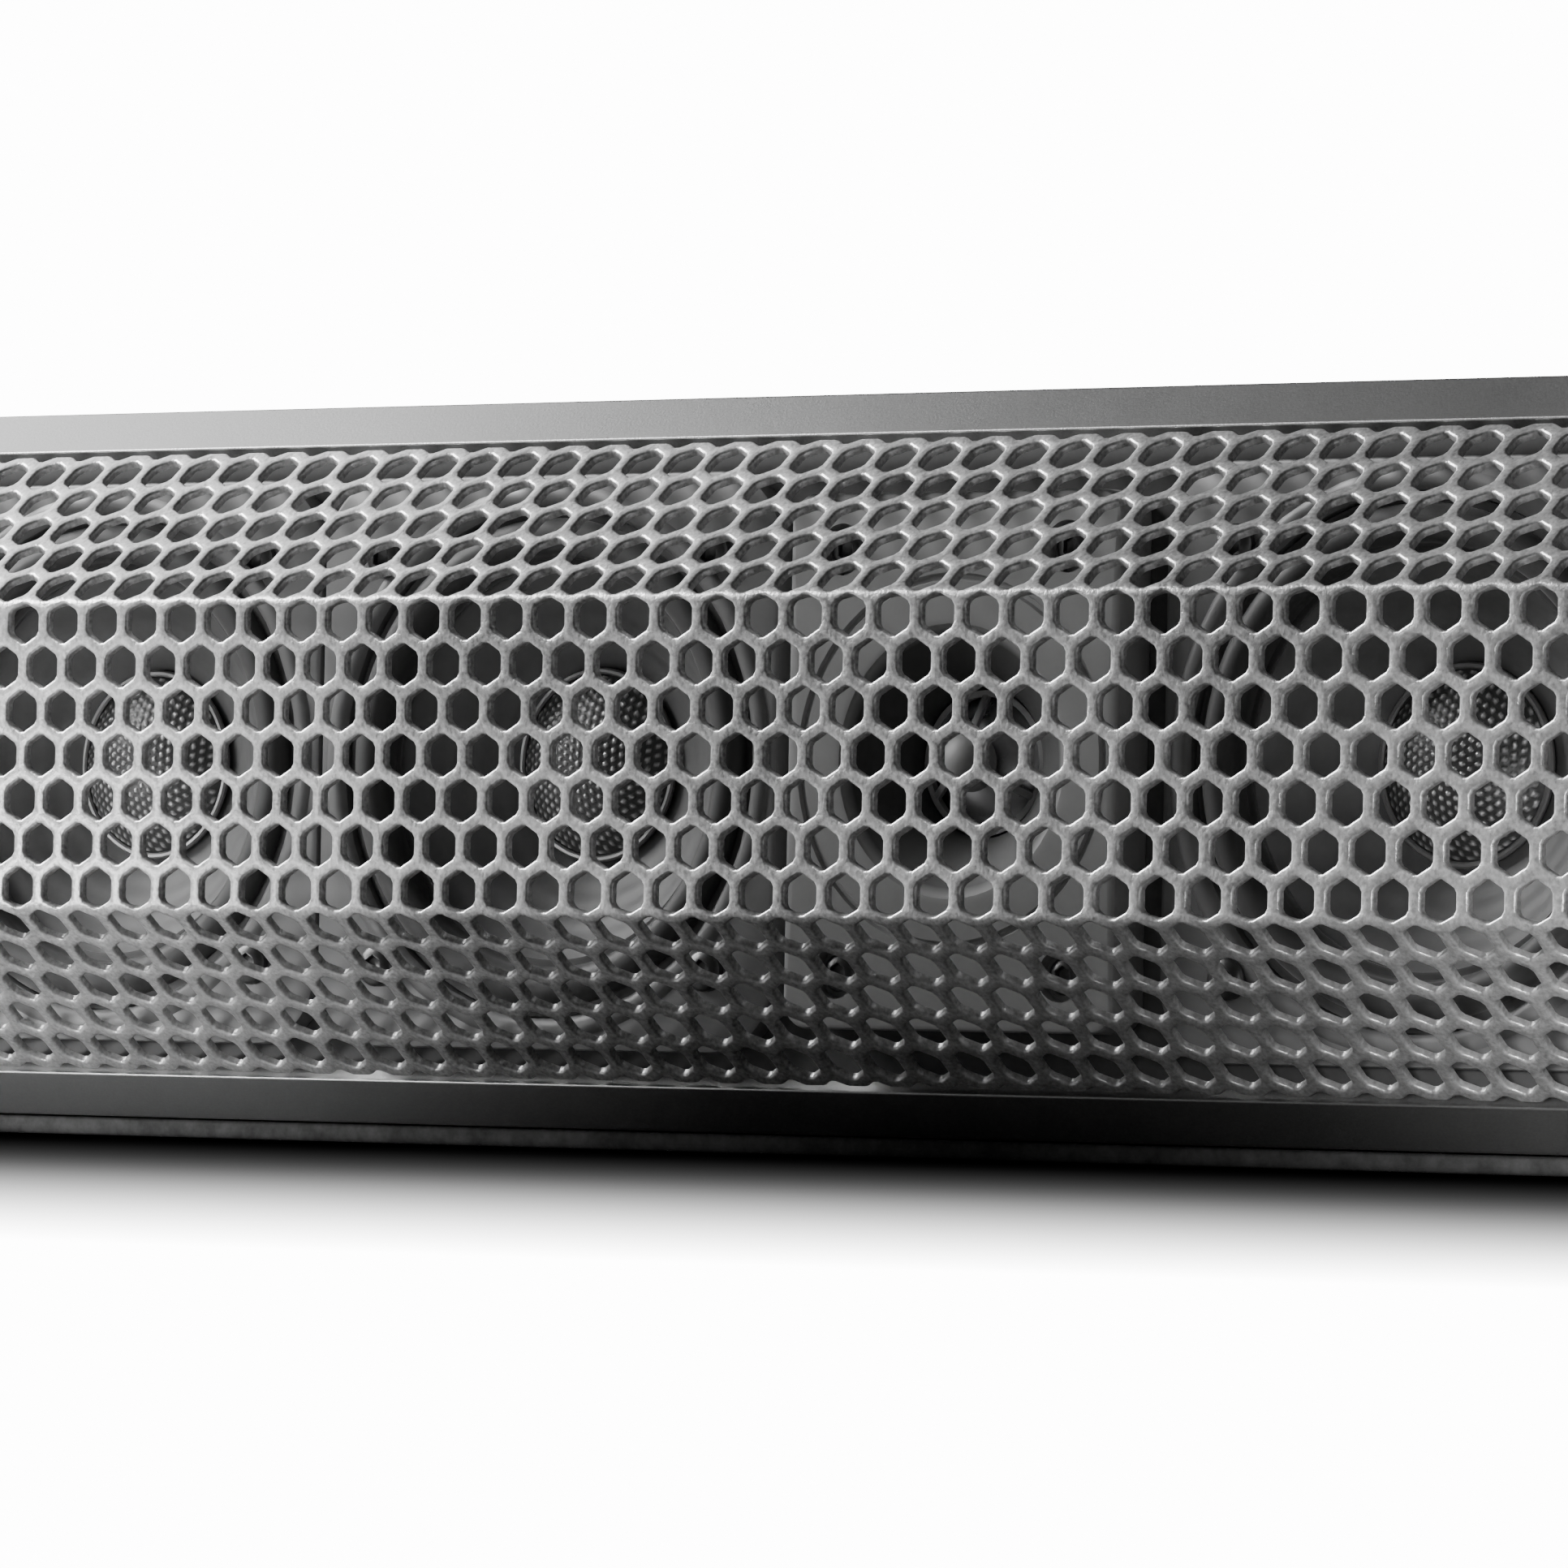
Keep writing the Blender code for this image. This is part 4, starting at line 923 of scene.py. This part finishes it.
def makeTweeter():
    t = tweeter
    per = 16
    wide, high = t["half"]
    rims = [(0.0, t["back"]), (0.0, t["face"] + t["edge"]), (t["edge"] * 0.3, t["face"] + t["edge"] * 0.3),
            (t["edge"], t["face"])]
    loops = [atDepth(roundedBox(wide - by, high - by, t["corner"] - by, per), depth) for by, depth in rims]
    g, d = t["grooveRadius"], t["grooveDepth"]
    profile = [(g + 0.6, t["face"]), (g + 0.3, t["face"] + d), (g - 0.3, t["face"] + d), (g - 0.6, t["face"]),
               (t["mouth"] + 1.2, t["face"]), (t["mouth"] + 0.4, t["face"] + 0.12)]
    profile += hornCurve()
    profile += [(t["throat"], t["throatBack"]), (t["throat"] + 3, t["throatBack"]),
                (t["horn"], t["throatBack"] - 2), (t["horn"], t["back"])]
    loops += [atDepth(roundLike(radius, per), depth) for radius, depth in profile]
    mesh = loopMesh("tweeterPlate", loops, closed=True)
    places = fourCorners(*t["screws"])
    top, floor = t["face"] - 2, t["face"] + 2.2
    recess = [(0, top), (t["recess"], top), (t["recess"], floor), (0, floor)]
    cutters = [turnedMesh("recess", recess, 36, place) for place in places]
    mesh = cutWith(mesh, cutters)
    across, depth, height = ((meshPoints(mesh) - (0, frontPlane, middleHeight)) / mm).T
    # painted shade: inside the horn the plate takes its darker second colour
    inHorn = (np.hypot(across, height) < t["mouth"] + 0.2) & (depth > t["face"] + 0.6)
    mesh.attributes.new("paintedShade", "FLOAT", "POINT").data.foreach_set("value", inHorn.astype(np.float32))
    showPiece("tweeter_plate_shape", mesh, "tweeterPlate", "tweeter_plate", "tweeter_plate", flats=True)
    screwSet("tweeter_plate_screws", places, floor, 0.9)
    ball = (t["domeRadius"] ** 2 + t["domeRise"] ** 2) / (2 * t["domeRise"])
    widest = math.asin(t["domeRadius"] / ball)
    a = np.linspace(0, widest, 18)
    apex = t["domeBase"] - t["domeRise"]
    inner, skirtEnd = ball - t["domeSheet"], t["domeBase"] + t["skirt"]
    front = np.column_stack([ball * np.sin(a), apex + ball * (1 - np.cos(a))])
    behind = np.column_stack([inner * np.sin(a), apex + t["domeSheet"] + inner * (1 - np.cos(a))])
    skirt = [(t["domeRadius"], skirtEnd), (behind[-1, 0], skirtEnd)]
    dome = turnedMesh("tweeterDome", np.concatenate([front, skirt, behind[::-1]]), 72)
    showPiece("tweeter_dome_shape", dome, "tweeterDome", "tweeter_dome", "tweeter_dome",
              body="tweeter_diaphragm")
    makePhasePlug(apex)


def makePhasePlug(apex):
    # a bullet on three slanted ribs that spring from a ring in the throat
    t = tweeter
    back = apex - 0.9
    s = np.linspace(0, 1, 10)
    nose = np.column_stack([t["plug"] * np.sin(s * np.pi / 2), back - 0.9 - 3.5 * np.cos(s * np.pi / 2)])
    bullet = turnedMesh("bullet", np.concatenate([nose, [(t["plug"], back), (0, back)]]), 48)
    outer = t["throat"] - 0.3
    front, behind = t["hornBack"] - t["ringHalf"], t["hornBack"] + t["ringHalf"]
    inner = outer - t["ringWidth"]
    band = [(inner, front), (outer, front), (outer, behind), (inner, behind)]
    ring = turnedMesh("plugRing", band, 72, closed=True)
    meshes = [bullet, ring]
    for turn in (90, 210, 330):
        angle = math.radians(turn)
        along = np.linspace(0, 1, 6)
        radius = t["plug"] - 0.7 + along * (outer - t["plug"] + 0.2)
        depth = back - 0.7 + along * (t["hornBack"] - back + 0.7)
        section = roundedBox(*t["ribHalf"], 0.25, 3)
        outward = np.array([math.cos(angle), 0, math.sin(angle)])
        sideways = np.array([-math.sin(angle), 0, math.cos(angle)])
        middle = radius[:, None] * outward + depth[:, None] * np.array([0, 1, 0])
        loops = middle[:, None] + section[None, :, :1] * sideways + section[None, :, 1:] * np.array([0, 1, 0])
        meshes.append(loopMesh("rib", loops))
    showPiece("phase_plug_shape", joined("phasePlug", meshes), "plug", "phase_plug", "phase_plug")


makeTweeter()
print("tweeter done")


def blockMesh(low, high, corner=0.5, edge=0.3):
    # a box between two (across, depth, height) corners, rounded along the depth and cut back at both faces
    (left, front, bottom), (right, back, top) = low, high
    centre = ((left + right) / 2, (bottom + top) / 2)
    wide, tall = (right - left) / 2, (top - bottom) / 2
    levels = [(edge, front), (0.0, front + edge), (0.0, back - edge), (edge, back)]
    loops = [atDepth(roundedBox(wide - by, tall - by, corner), depth, centre) for by, depth in levels]
    return loopMesh("block", loops)


def boxOf(node):
    # a CAD node's corners as (across, depth, height) in millimetres
    low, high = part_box(node)
    shift = np.array([0.0, frontPlane, middleHeight])
    return (np.array(low) - shift) / mm, (np.array(high) - shift) / mm


def socketMesh(name, rings, levels, centre, corners):
    # loops of rounded boxes: each level is (which ring, inward step, depth)
    loops = []
    for which, inward, depth in levels:
        wide, high = rings[which]
        corner = corners[which] - inward
        loops.append(atDepth(roundedBox(wide - inward, high - inward, max(corner, 0.2), 9), depth, centre))
    return loopMesh(name, loops)


motor = {
    # gap is the coil's slot: inner and outer radius, and the depth of its floor
    "woofer": {"radius": 27.0, "front": 53.3, "pole": 52.0, "back": 70.0,
               "gap": (11.2, 14.6, 66.0), "bore": 3.0},
    "tweeter": {"radius": 21.0, "front": 37.8, "pole": 37.8, "back": 52.0,
                "gap": (8.6, 10.6, 44.0), "bore": 1.5},
}


def motorMesh(m):
    # a pole inside the coil's gap, then front plate, magnet and back plate with a stepped, vented middle
    inner, outer, floor = m["gap"]
    front, back, edge = m["front"], m["back"], m["radius"]
    plate = edge - 1.5
    rise = (back - front) / 4
    profile = [
        (0, m["pole"]), (inner - 0.4, m["pole"]), (inner, m["pole"] + 0.4), (inner, floor), (outer, floor),
        (outer, front), (plate - 0.4, front), (plate, front + 0.4), (plate, front + rise),
        (edge, front + rise),
        (edge, back - rise), (plate, back - rise), (plate, back - 1.0), (plate - 1.0, back),
        (plate * 0.6, back), (plate * 0.55, back - 0.7), (m["bore"] + 0.6, back - 0.7),
        (m["bore"], back - 1.3), (m["bore"], back - 4.0), (0, back - 4.0),
    ]
    return turnedMesh("motor", profile, 72)


def makeMotors():
    shape = motorMesh(motor["woofer"])
    for number, across in enumerate(wooferPlaces, 1):
        node = f"woofer_motor_{number}"
        showPiece(f"{node}_shape", shiftedCopy(shape, across), "motor", "motor", node)
    bpy.data.meshes.remove(shape)
    showPiece("tweeter_motor_shape", motorMesh(motor["tweeter"]), "motor", "motor", "tweeter_motor")


def partsOn(node, name, kinds, seed, keepClear=()):
    # small parts in rows over the board, each (half width, half height, rise, finish); some places stay empty
    low, high = boxOf(node)
    chance = np.random.default_rng(seed)
    face = high[1]
    heaps = {}
    for x in np.arange(low[0] + 7, high[0] - 6, 9.5):
        for z in np.arange(low[2] + 7, high[2] - 6, 9.5):
            wide, tall, rise, look = kinds[chance.integers(len(kinds))]
            clash = any(a - 4.5 < x < b + 4.5 and c - 4.5 < z < d + 4.5 for a, b, c, d in keepClear)
            if clash or chance.random() < 0.25:
                continue
            form = blockMesh((x - wide, face + 0.05, z - tall), (x + wide, face + rise, z + tall), 0.35, 0.2)
            heaps.setdefault(look, []).append(form)
    for look, meshes in heaps.items():
        showPiece(f"{name}_{look}", joined(name, meshes), look, "board")


def makeTransformer():
    # a stack of plates between two windings: rounded blocks whose sides ripple with the turns
    low, high = boxOf("transformer")
    middle, half = (low[2] + high[2]) / 2, (high[2] - low[2]) / 2
    plates = np.linspace(low[0], high[0], 20)
    core = [blockMesh((a + 0.05, low[1] + 1.5, low[2]), (b - 0.05, high[1] - 0.6, high[2]), 0.3, 0.2)
            for a, b in zip(plates[5:14], plates[6:15])]
    showPiece("transformer_core", joined("core", core), "motor", "transformer", "transformer")
    coils = []
    for a, b in ((plates[0], plates[5] - 0.3), (plates[14] + 0.3, plates[19])):
        x = np.linspace(a, b, 41)
        by = 0.25 * np.cos(np.linspace(0, 20 * np.pi, 41))
        ring = roundedBox((high[1] - low[1]) / 2 - 0.9, half - 1.5, 3.0, 6)
        centre = np.array([(low[1] + high[1]) / 2 + 0.4, middle])
        loops = [atAcross(ring * (1 - s / 9.0) + centre, c) for c, s in zip(x, by)]
        coils.append(loopMesh("coil", loops))
    showPiece("transformer_windings", joined("coils", coils), "copper", "transformer")


def makeCapacitor():
    # a can that stands upright, with a pressed groove near its foot and a rounded shoulder
    low, high = boxOf("filter_capacitor")
    across, depth = (low[0] + high[0]) / 2, (low[1] + high[1]) / 2
    can = high[0] - across
    turn = np.radians(np.linspace(0, 90, 5))
    base, top = low[2], high[2]
    profile = [(0, base), (can - 0.8, base), (can, base + 0.8), (can, base + 2.0), (can - 0.7, base + 2.6),
               (can, base + 3.2)]
    profile += [(can - 1.0 + math.cos(t), top - 1.0 + math.sin(t)) for t in turn]
    profile += [(can - 1.6, top - 0.2), (0, top - 0.2)]
    t = np.arange(48) * 2 * np.pi / 48
    circle = np.stack([np.cos(t), np.sin(t)], -1)
    points = np.concatenate([atHeight(circle * r + (across, depth), h) for r, h in profile])
    mesh = closeMesh(newMesh("can", toWorld(points), [gridFaces(len(profile), 48, closeColumns=True)]))
    showPiece("filter_capacitor_can", mesh, "sleeve", "capacitor", "filter_capacitor")


def fillBoards():
    taken = [boxOf(node) for node in ("transformer", "filter_capacitor", "heat_sink")]
    clear = [(a[0], b[0], a[2], b[2]) for a, b in taken]
    chips = [(2.8, 1.6, 1.4, "socket"), (1.3, 2.4, 1.1, "sleeve"), (1.6, 1.6, 3.0, "motor"),
             (1.0, 0.6, 0.6, "socket")]
    partsOn("power_board", "power_parts", chips, 4, clear)
    partsOn("amplifier_board", "amplifier_parts", chips, 9, clear)


def dressCadNodes():
    # what keeps its CAD shape gets a finish of its own
    looks = {
        "baffle": ["baffle"],
        "plain": ["divider_left", "divider_right"],
        "loom": ["speaker_harness"],
        "board": ["power_board", "amplifier_board", "control_board"],
        "fins": ["heat_sink"],
    }
    for look, nodes in looks.items():
        for node in nodes:
            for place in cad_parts[node].material_slots:
                place.material = made[look]


makeMotors()
makeTransformer()
makeCapacitor()
fillBoards()
dressCadNodes()
print("inside done")


rearPanel = {
    "face": 91.7, "corner": 3.0,
    "screws": (58.5, 15.0),
    "inlet": 42.0, "rocker": 14.0, "digital": -18.0, "line": -42.0,
    # each opening's half width, half height and corner
    "holes": {"inlet": (12.3, 8.3, 2.3), "rocker": (7.9, 5.4, 0.8), "digital": (6.8, 6.3, 0.8),
              "line": (4.8, 4.8, 4.7)},
    "pivot": 90.2, "rockerTilt": math.radians(8),
    "inletDepth": 15.0, "pinPlace": 4.3, "pinRadius": 1.15, "pinTip": 87.4,
    "rockerHalf": (7.0, 4.8), "rockerSkirt": 3.2,
}


def makeRearPanel():
    r = rearPanel
    low, high = boxOf("rear_panel")
    cutters = [windowCutter((wide, tall), corner, r["face"] - 6, r["face"] + 3, (r[name], 0.0))
               for name, (wide, tall, corner) in r["holes"].items()]
    plate = cutWith(blockMesh(low, high, r["corner"], 0.4), cutters)
    showPiece("rear_panel_plate", plate, "rearPanel", "rear_panel", "rear_panel", flats=True)
    screwSet("rear_panel_screws", fourCorners(*r["screws"]), r["face"], 0.85, facingBack=True)
    makeInlet()
    makeSmallSockets()
    makeRocker()


def makeInlet():
    # a stadium-shaped pocket in a rounded block, with two round-nosed pins standing on its floor
    r = rearPanel
    low, high = boxOf("mains_inlet")
    face, floor = high[1], high[1] - r["inletDepth"]
    levels = [(0, 0.0, low[1]), (0, 0.0, face - 0.5), (0, 0.15, face - 0.15), (0, 0.5, face), (1, -0.5, face),
              (1, -0.1, face - 0.15), (1, 0.0, face - 0.5), (1, 0.0, floor)]
    body = socketMesh("inlet", [(12.0, 8.0), (9.0, 5.2)], levels, (r["inlet"], 0), (2.0, 5.1))
    showPiece("mains_inlet_body", body, "socket", "socket", "mains_inlet")
    turn = np.linspace(0, np.pi / 2, 7)
    nose = [(r["pinRadius"] * math.cos(t), r["pinTip"] - r["pinRadius"] * (1 - math.sin(t))) for t in turn]
    profile = [(0, floor + 0.02), (r["pinRadius"], floor + 0.02)] + nose
    places = [r["inlet"] - r["pinPlace"], r["inlet"] + r["pinPlace"]]
    pins = [turnedMesh("pin", profile, 24, (across, 0)) for across in places]
    showPiece("mains_inlet_pins", joined("pins", pins), "nickel", "socket")


def makeSmallSockets():
    # the light-pipe socket has a sprung shutter a little way in; the jack is a tube with a rounded lip
    r = rearPanel
    low, high = boxOf("digital_input")
    face = high[1]
    levels = [(0, 0.0, low[1]), (0, 0.0, face - 0.4), (0, 0.4, face), (1, -0.4, face), (1, 0.0, face - 0.4),
              (1, 0.0, face - 8.0)]
    body = socketMesh("lightPipe", [(6.5, 6.0), (4.6, 4.2)], levels, (r["digital"], 0), (1.4, 0.8))
    showPiece("digital_input_body", body, "socket", "socket", "digital_input")
    levels = [(0, 0.0, face - 2.6), (0, 0.0, face - 1.8), (0, 0.3, face - 1.5), (0, 2.2, face - 1.5),
              (0, 2.5, face - 1.8)]
    shutter = socketMesh("shutter", [(4.5, 4.1)], levels, (r["digital"], 0), (0.7,))
    showPiece("digital_input_shutter", shutter, "endCap", "socket")
    low, high = boxOf("line_input")
    face, back = high[1], low[1]
    profile = [(0, back), (4.4, back), (4.4, face - 0.5), (3.9, face), (2.3, face), (1.9, face - 0.35),
               (1.8, back + 2), (0, back + 2)]
    jack = turnedMesh("jack", profile, 48, (r["line"], 0))
    showPiece("line_input_jack", jack, "nickel", "socket", "line_input")


def makeRocker():
    # the top dips along a valley, rise = 1.4 + (u / half)^2, and the cap is then tilted about its pivot
    r = rearPanel
    half, wide = r["rockerHalf"]
    u = np.linspace(-half, half, 29)
    valley = 1.4 + 1.0 * (u / half) ** 2
    skirt = -r["rockerSkirt"]
    section = np.concatenate([[(-half, skirt)], np.column_stack([u, valley]), [(half, skirt)]])
    section = filleted(section, [0.3] + [0.5] + [0.0] * 27 + [0.5] + [0.3], steps=4)
    loops = []
    for by, height in ((0.35, -wide), (0.0, -wide + 0.35), (0.0, wide - 0.35), (0.35, wide)):
        ring = section * np.array([1 - by / half, 1 - by / 4.0])
        x = ring[:, 0] * math.cos(r["rockerTilt"]) - ring[:, 1] * math.sin(r["rockerTilt"])
        depth = ring[:, 0] * math.sin(r["rockerTilt"]) + ring[:, 1] * math.cos(r["rockerTilt"])
        loops.append(atHeight(np.column_stack([r["rocker"] + x, r["pivot"] + depth]), height))
    cap = loopMesh("rocker", loops)
    showPiece("rocker_cap", cap, "rocker", "rocker", "rocker_switch", body="rocker", sharp=40)
    face = r["face"]
    levels = [(1, 0.0, face), (1, 0.0, face + 0.9), (1, -0.3, face + 1.1), (0, 0.4, face + 1.1),
              (0, 0.0, face + 0.7), (0, 0.0, face)]
    bezel = socketMesh("bezel", [(9.5, 7.0), (8.0, 5.5)], levels[::-1], (r["rocker"], 0), (1.2, 0.7))
    showPiece("rocker_bezel", bezel, "socket", "rear_panel")


makeRearPanel()
print("rear panel done")


key = {"half": (7.0, 4.5), "corner": 2.0, "flange": 1.2, "dish": 0.35, "edge": 0.45}


def makeKeys():
    # a dished cap, rise = top - dish (1 - s^2) over the share s of its half size, on a flange and a post
    k = key
    for node in ("key_1", "key_2", "key_3"):
        low, high = boxOf(node)
        across, depth, top = (low[0] + high[0]) / 2, (low[1] + high[1]) / 2, high[2]
        under = bar["halfHeight"] - housing["wall"] - bar["gap"]
        wide, long = k["half"]
        levels = [(2.0, 2.0, 1.0, low[2]), (2.0, 2.0, 1.0, under - 1.0),
                  (wide + k["flange"], long + k["flange"], 2.0, under - 1.0),
                  (wide + k["flange"], long + k["flange"], 2.0, under),
                  (wide, long, k["corner"], under), (wide, long, k["corner"], top - k["edge"])]
        for t in np.radians([30, 60, 90]):
            by = k["edge"] * (1 - math.cos(t))
            levels.append((wide - by, long - by, k["corner"] - by, top - k["edge"] * (1 - math.sin(t))))
        for share in (0.82, 0.6, 0.35, 0.12):
            rise = top - k["dish"] * (1 - share ** 2) * 0.9
            levels.append((wide * share, long * share, k["corner"] * share, rise))
        loops = [atHeight(roundedBox(halfX, halfY, corner, 8) + (across, depth), level)
                 for halfX, halfY, corner, level in levels]
        showPiece(f"{node}_cap", loopMesh("key", loops), "key", "key", node, body=f"{node}_body")


makeKeys()


foot = {"grooves": 3, "round": 0.8}


def makeFeet():
    # a strip whose sides round over into a sole with shallow lengthwise grooves
    for node in ("foot_front", "foot_back"):
        low, high = boxOf(node)
        middle, half = (low[1] + high[1]) / 2, (high[1] - low[1]) / 2
        u = np.linspace(-1, 1, 49)
        bottom, top = low[2], high[2]
        edge = np.clip((np.abs(u) - 0.8) / 0.2, 0, 1)
        groove = 0.25 * (0.5 - 0.5 * np.cos(foot["grooves"] * 2 * np.pi * (u + 1) / 2)) * (edge == 0)
        sole = bottom + foot["round"] * (1 - np.sqrt(1 - edge ** 2)) + groove
        rim = [(middle + half, top), (middle - half, top)]
        section = np.concatenate([np.column_stack([middle + u * half, sole]), rim])
        loops = []
        for by, across in ((0.7, low[0]), (0.0, low[0] + 0.7), (0.0, high[0] - 0.7), (0.7, high[0])):
            ring = np.column_stack([middle + (section[:, 0] - middle) * (1 - by / half),
                                    top + (section[:, 1] - top) * (1 - by / 3.0)])
            loops.append(atAcross(ring, across))
        showPiece(f"{node}_strip", loopMesh("foot", loops), "foot", "foot", node, sharp=40)


makeFeet()
print("keys and feet done")


stageLook = {
    "lens": 232.66,
    "target": 187.98 * 7.5,      # from the eye to the middle of what it looks at, in millimetres
    "yaw": math.radians(36.25),
    "pitch": math.radians(1.416),
    "roll": math.radians(1.14),
    "middle": (-10.48, 0.0, -4.03),
}


def makeCamera():
    s = stageLook
    ahead = Vector((-math.sin(s["yaw"]) * math.cos(s["pitch"]), math.cos(s["yaw"]) * math.cos(s["pitch"]),
                    math.sin(s["pitch"])))
    right = Vector((math.cos(s["yaw"]), math.sin(s["yaw"]), 0))
    up = right.cross(ahead)
    rolledRight = right * math.cos(s["roll"]) + up * math.sin(s["roll"])
    rolledUp = -right * math.sin(s["roll"]) + up * math.cos(s["roll"])
    eye = Vector(toWorld([s["middle"]])[0]) - ahead * s["target"] * mm
    camera = bpy.data.objects.new("camera", bpy.data.cameras.new("camera"))
    bpy.context.collection.objects.link(camera)
    turn = Matrix((rolledRight, rolledUp, -ahead)).transposed().to_4x4()
    camera.matrix_world = Matrix.Translation(eye) @ turn
    camera.data.lens = s["lens"]
    camera.data.sensor_width = 36.0
    camera.data.clip_start = 0.01
    camera.data.clip_end = 100.0
    bpy.context.scene.camera = camera


def areaLight(name, place, aim, size, power, spread=180):
    data = bpy.data.lights.new(name, "AREA")
    data.shape = "RECTANGLE"
    data.size, data.size_y = size
    data.energy = power
    data.spread = math.radians(spread)
    lamp = bpy.data.objects.new(name, data)
    bpy.context.collection.objects.link(lamp)
    lamp.location = place
    lamp.rotation_euler = (Vector(aim) - Vector(place)).to_track_quat("-Z", "Y").to_euler()
    lamp.visible_camera = False


floorLook = {
    "half": 12.0,
    "glow": 14.0,                # what the camera sees of the open floor
    "contact": 0.3,              # how far the object's contact shade reaches
    "brighten": 13.6,            # along the floor, light = exp(brighten * distance - dark)
    "dark": 7.2,
    "grazing": (0.9, 0.975),     # painted shadow in the floor's colour: it is darkest by the object's middle and starts to pale here.
    "shadeFadeFrom": 0.05,          # the floor throws light back more strongly from here ...
    "shadeFadeTo": 0.13,            # It is fully pale here, across from the object's middle.
    "shadedToPale": (0.02, 0.42),
}


def floorGlow(tree, place):
    # white towards the camera, with a painted shadow that is darker where the object stands over the floor
    # and fades with the distance from it
    f = floorLook
    near = addNode(tree, "AmbientOcclusion", {"Distance": f["contact"]}, samples=12).outputs["AO"]
    away = addNode(tree, "VectorMath", {0: place}, operation="ABSOLUTE").outputs[0]
    footprint = (cadHigh.x, cadHigh.y, 0)
    outside = addNode(tree, "VectorMath", {0: away, 1: footprint}, operation="SUBTRACT").outputs[0]
    clear = addNode(tree, "VectorMath", {0: outside}, operation="MAXIMUM").outputs[0]
    reach = addNode(tree, "VectorMath", {0: clear}, operation="LENGTH").outputs["Value"]
    fade = calc(tree, "MINIMUM", calc(tree, "MULTIPLY_ADD", reach, f["brighten"], -f["dark"]), 0.0)
    facing = addNode(tree, "LayerWeight", {"Blend": 0.5}).outputs["Facing"]
    start, end = f["grazing"]
    share = addNode(tree, "MapRange", {"Value": facing, "From Min": start, "From Max": end}).outputs["Result"]
    lightness = calc(tree, "EXPONENT", calc(tree, "MULTIPLY", fade, share))
    shaded = calc(tree, "MULTIPLY", lightness, calc(tree, "POWER", near, 3.0))
    return addNode(tree, "Emission", {"Strength": calc(tree, "MULTIPLY", shaded, f["glow"])}).outputs[0]


def forCamera(tree, others, seen, end):
    # one shader for the camera's own rays and another for all the rest
    onlySeen = addNode(tree, "LightPath").outputs["Is Camera Ray"]
    mix = addNode(tree, "MixShader", {"Fac": onlySeen, 1: others, 2: seen})
    tree.links.new(mix.outputs["Shader"], tree.nodes[end].inputs["Surface"])


def makeFloor():
    f = floorLook
    corners = np.array([[-1, -1, 0], [1, -1, 0], [1, 1, 0], [-1, 1, 0]], float) * f["half"]
    mesh = newMesh("floor", corners, [np.array([[0, 1, 2, 3]])])
    floor = bpy.data.objects.new("floor", mesh)
    bpy.context.collection.objects.link(floor)
    material = bpy.data.materials.new("paleFloor")
    material.use_nodes = True
    tree = material.node_tree
    place = addNode(tree, "TexCoord").outputs["Object"]
    # painted shadow: for every ray but the camera's, the floor's colour is dark by the object's middle and
    # pale to each side
    across = calc(tree, "ABSOLUTE", addNode(tree, "SeparateXYZ", {0: place}).outputs["X"])
    shadedColour, unshadedColour = f["shadedToPale"]
    paintedFloorShade = addNode(tree, "MapRange", {"Value": across, "From Min": f["shadeFadeFrom"], "From Max": f["shadeFadeTo"],
                                      "To Min": shadedColour, "To Max": unshadedColour})
    shader = tree.nodes["Principled BSDF"]
    shader.inputs["Roughness"].default_value = 0.6
    tree.links.new(paintedFloorShade.outputs["Result"], shader.inputs["Base Color"])
    forCamera(tree, shader.outputs["BSDF"], floorGlow(tree, place), "Material Output")
    mesh.materials.append(material)


def makeWorld():
    world = bpy.data.worlds.new("studio")
    bpy.context.scene.world = world
    world.use_nodes = True
    tree = world.node_tree
    soft = tree.nodes["Background"]
    soft.inputs["Color"].default_value = (1, 1, 1, 1)
    soft.inputs["Strength"].default_value = 0.05
    white = addNode(tree, "Background", {"Color": (1, 1, 1, 1), "Strength": floorLook["glow"]})
    forCamera(tree, soft.outputs[0], white.outputs[0], "World Output")


makeCamera()
makeFloor()
makeWorld()
areaLight("key", (-1.00, -0.33, 0.63), (-0.05, 0, 0.06), (0.50, 0.50), 42.0)
areaLight("above", (-0.56, 0.15, 0.45), (-0.10, 0, 0.08), (0.30, 0.30), 1.0)
areaLight("lowLeft", (-0.30, -0.25, 0.03), (-0.17, 0, 0), (0.08, 0.03), 0.045, 40)
areaLight("lowRight", (0.20, -0.25, 0.03), (0.13, 0, 0), (0.08, 0.03), 0.05, 40)
areaLight("behind", (0.55, 1.20, 0.55), (0.05, 0, 0.05), (1.0, 0.6), 30.0)
print("stage done")
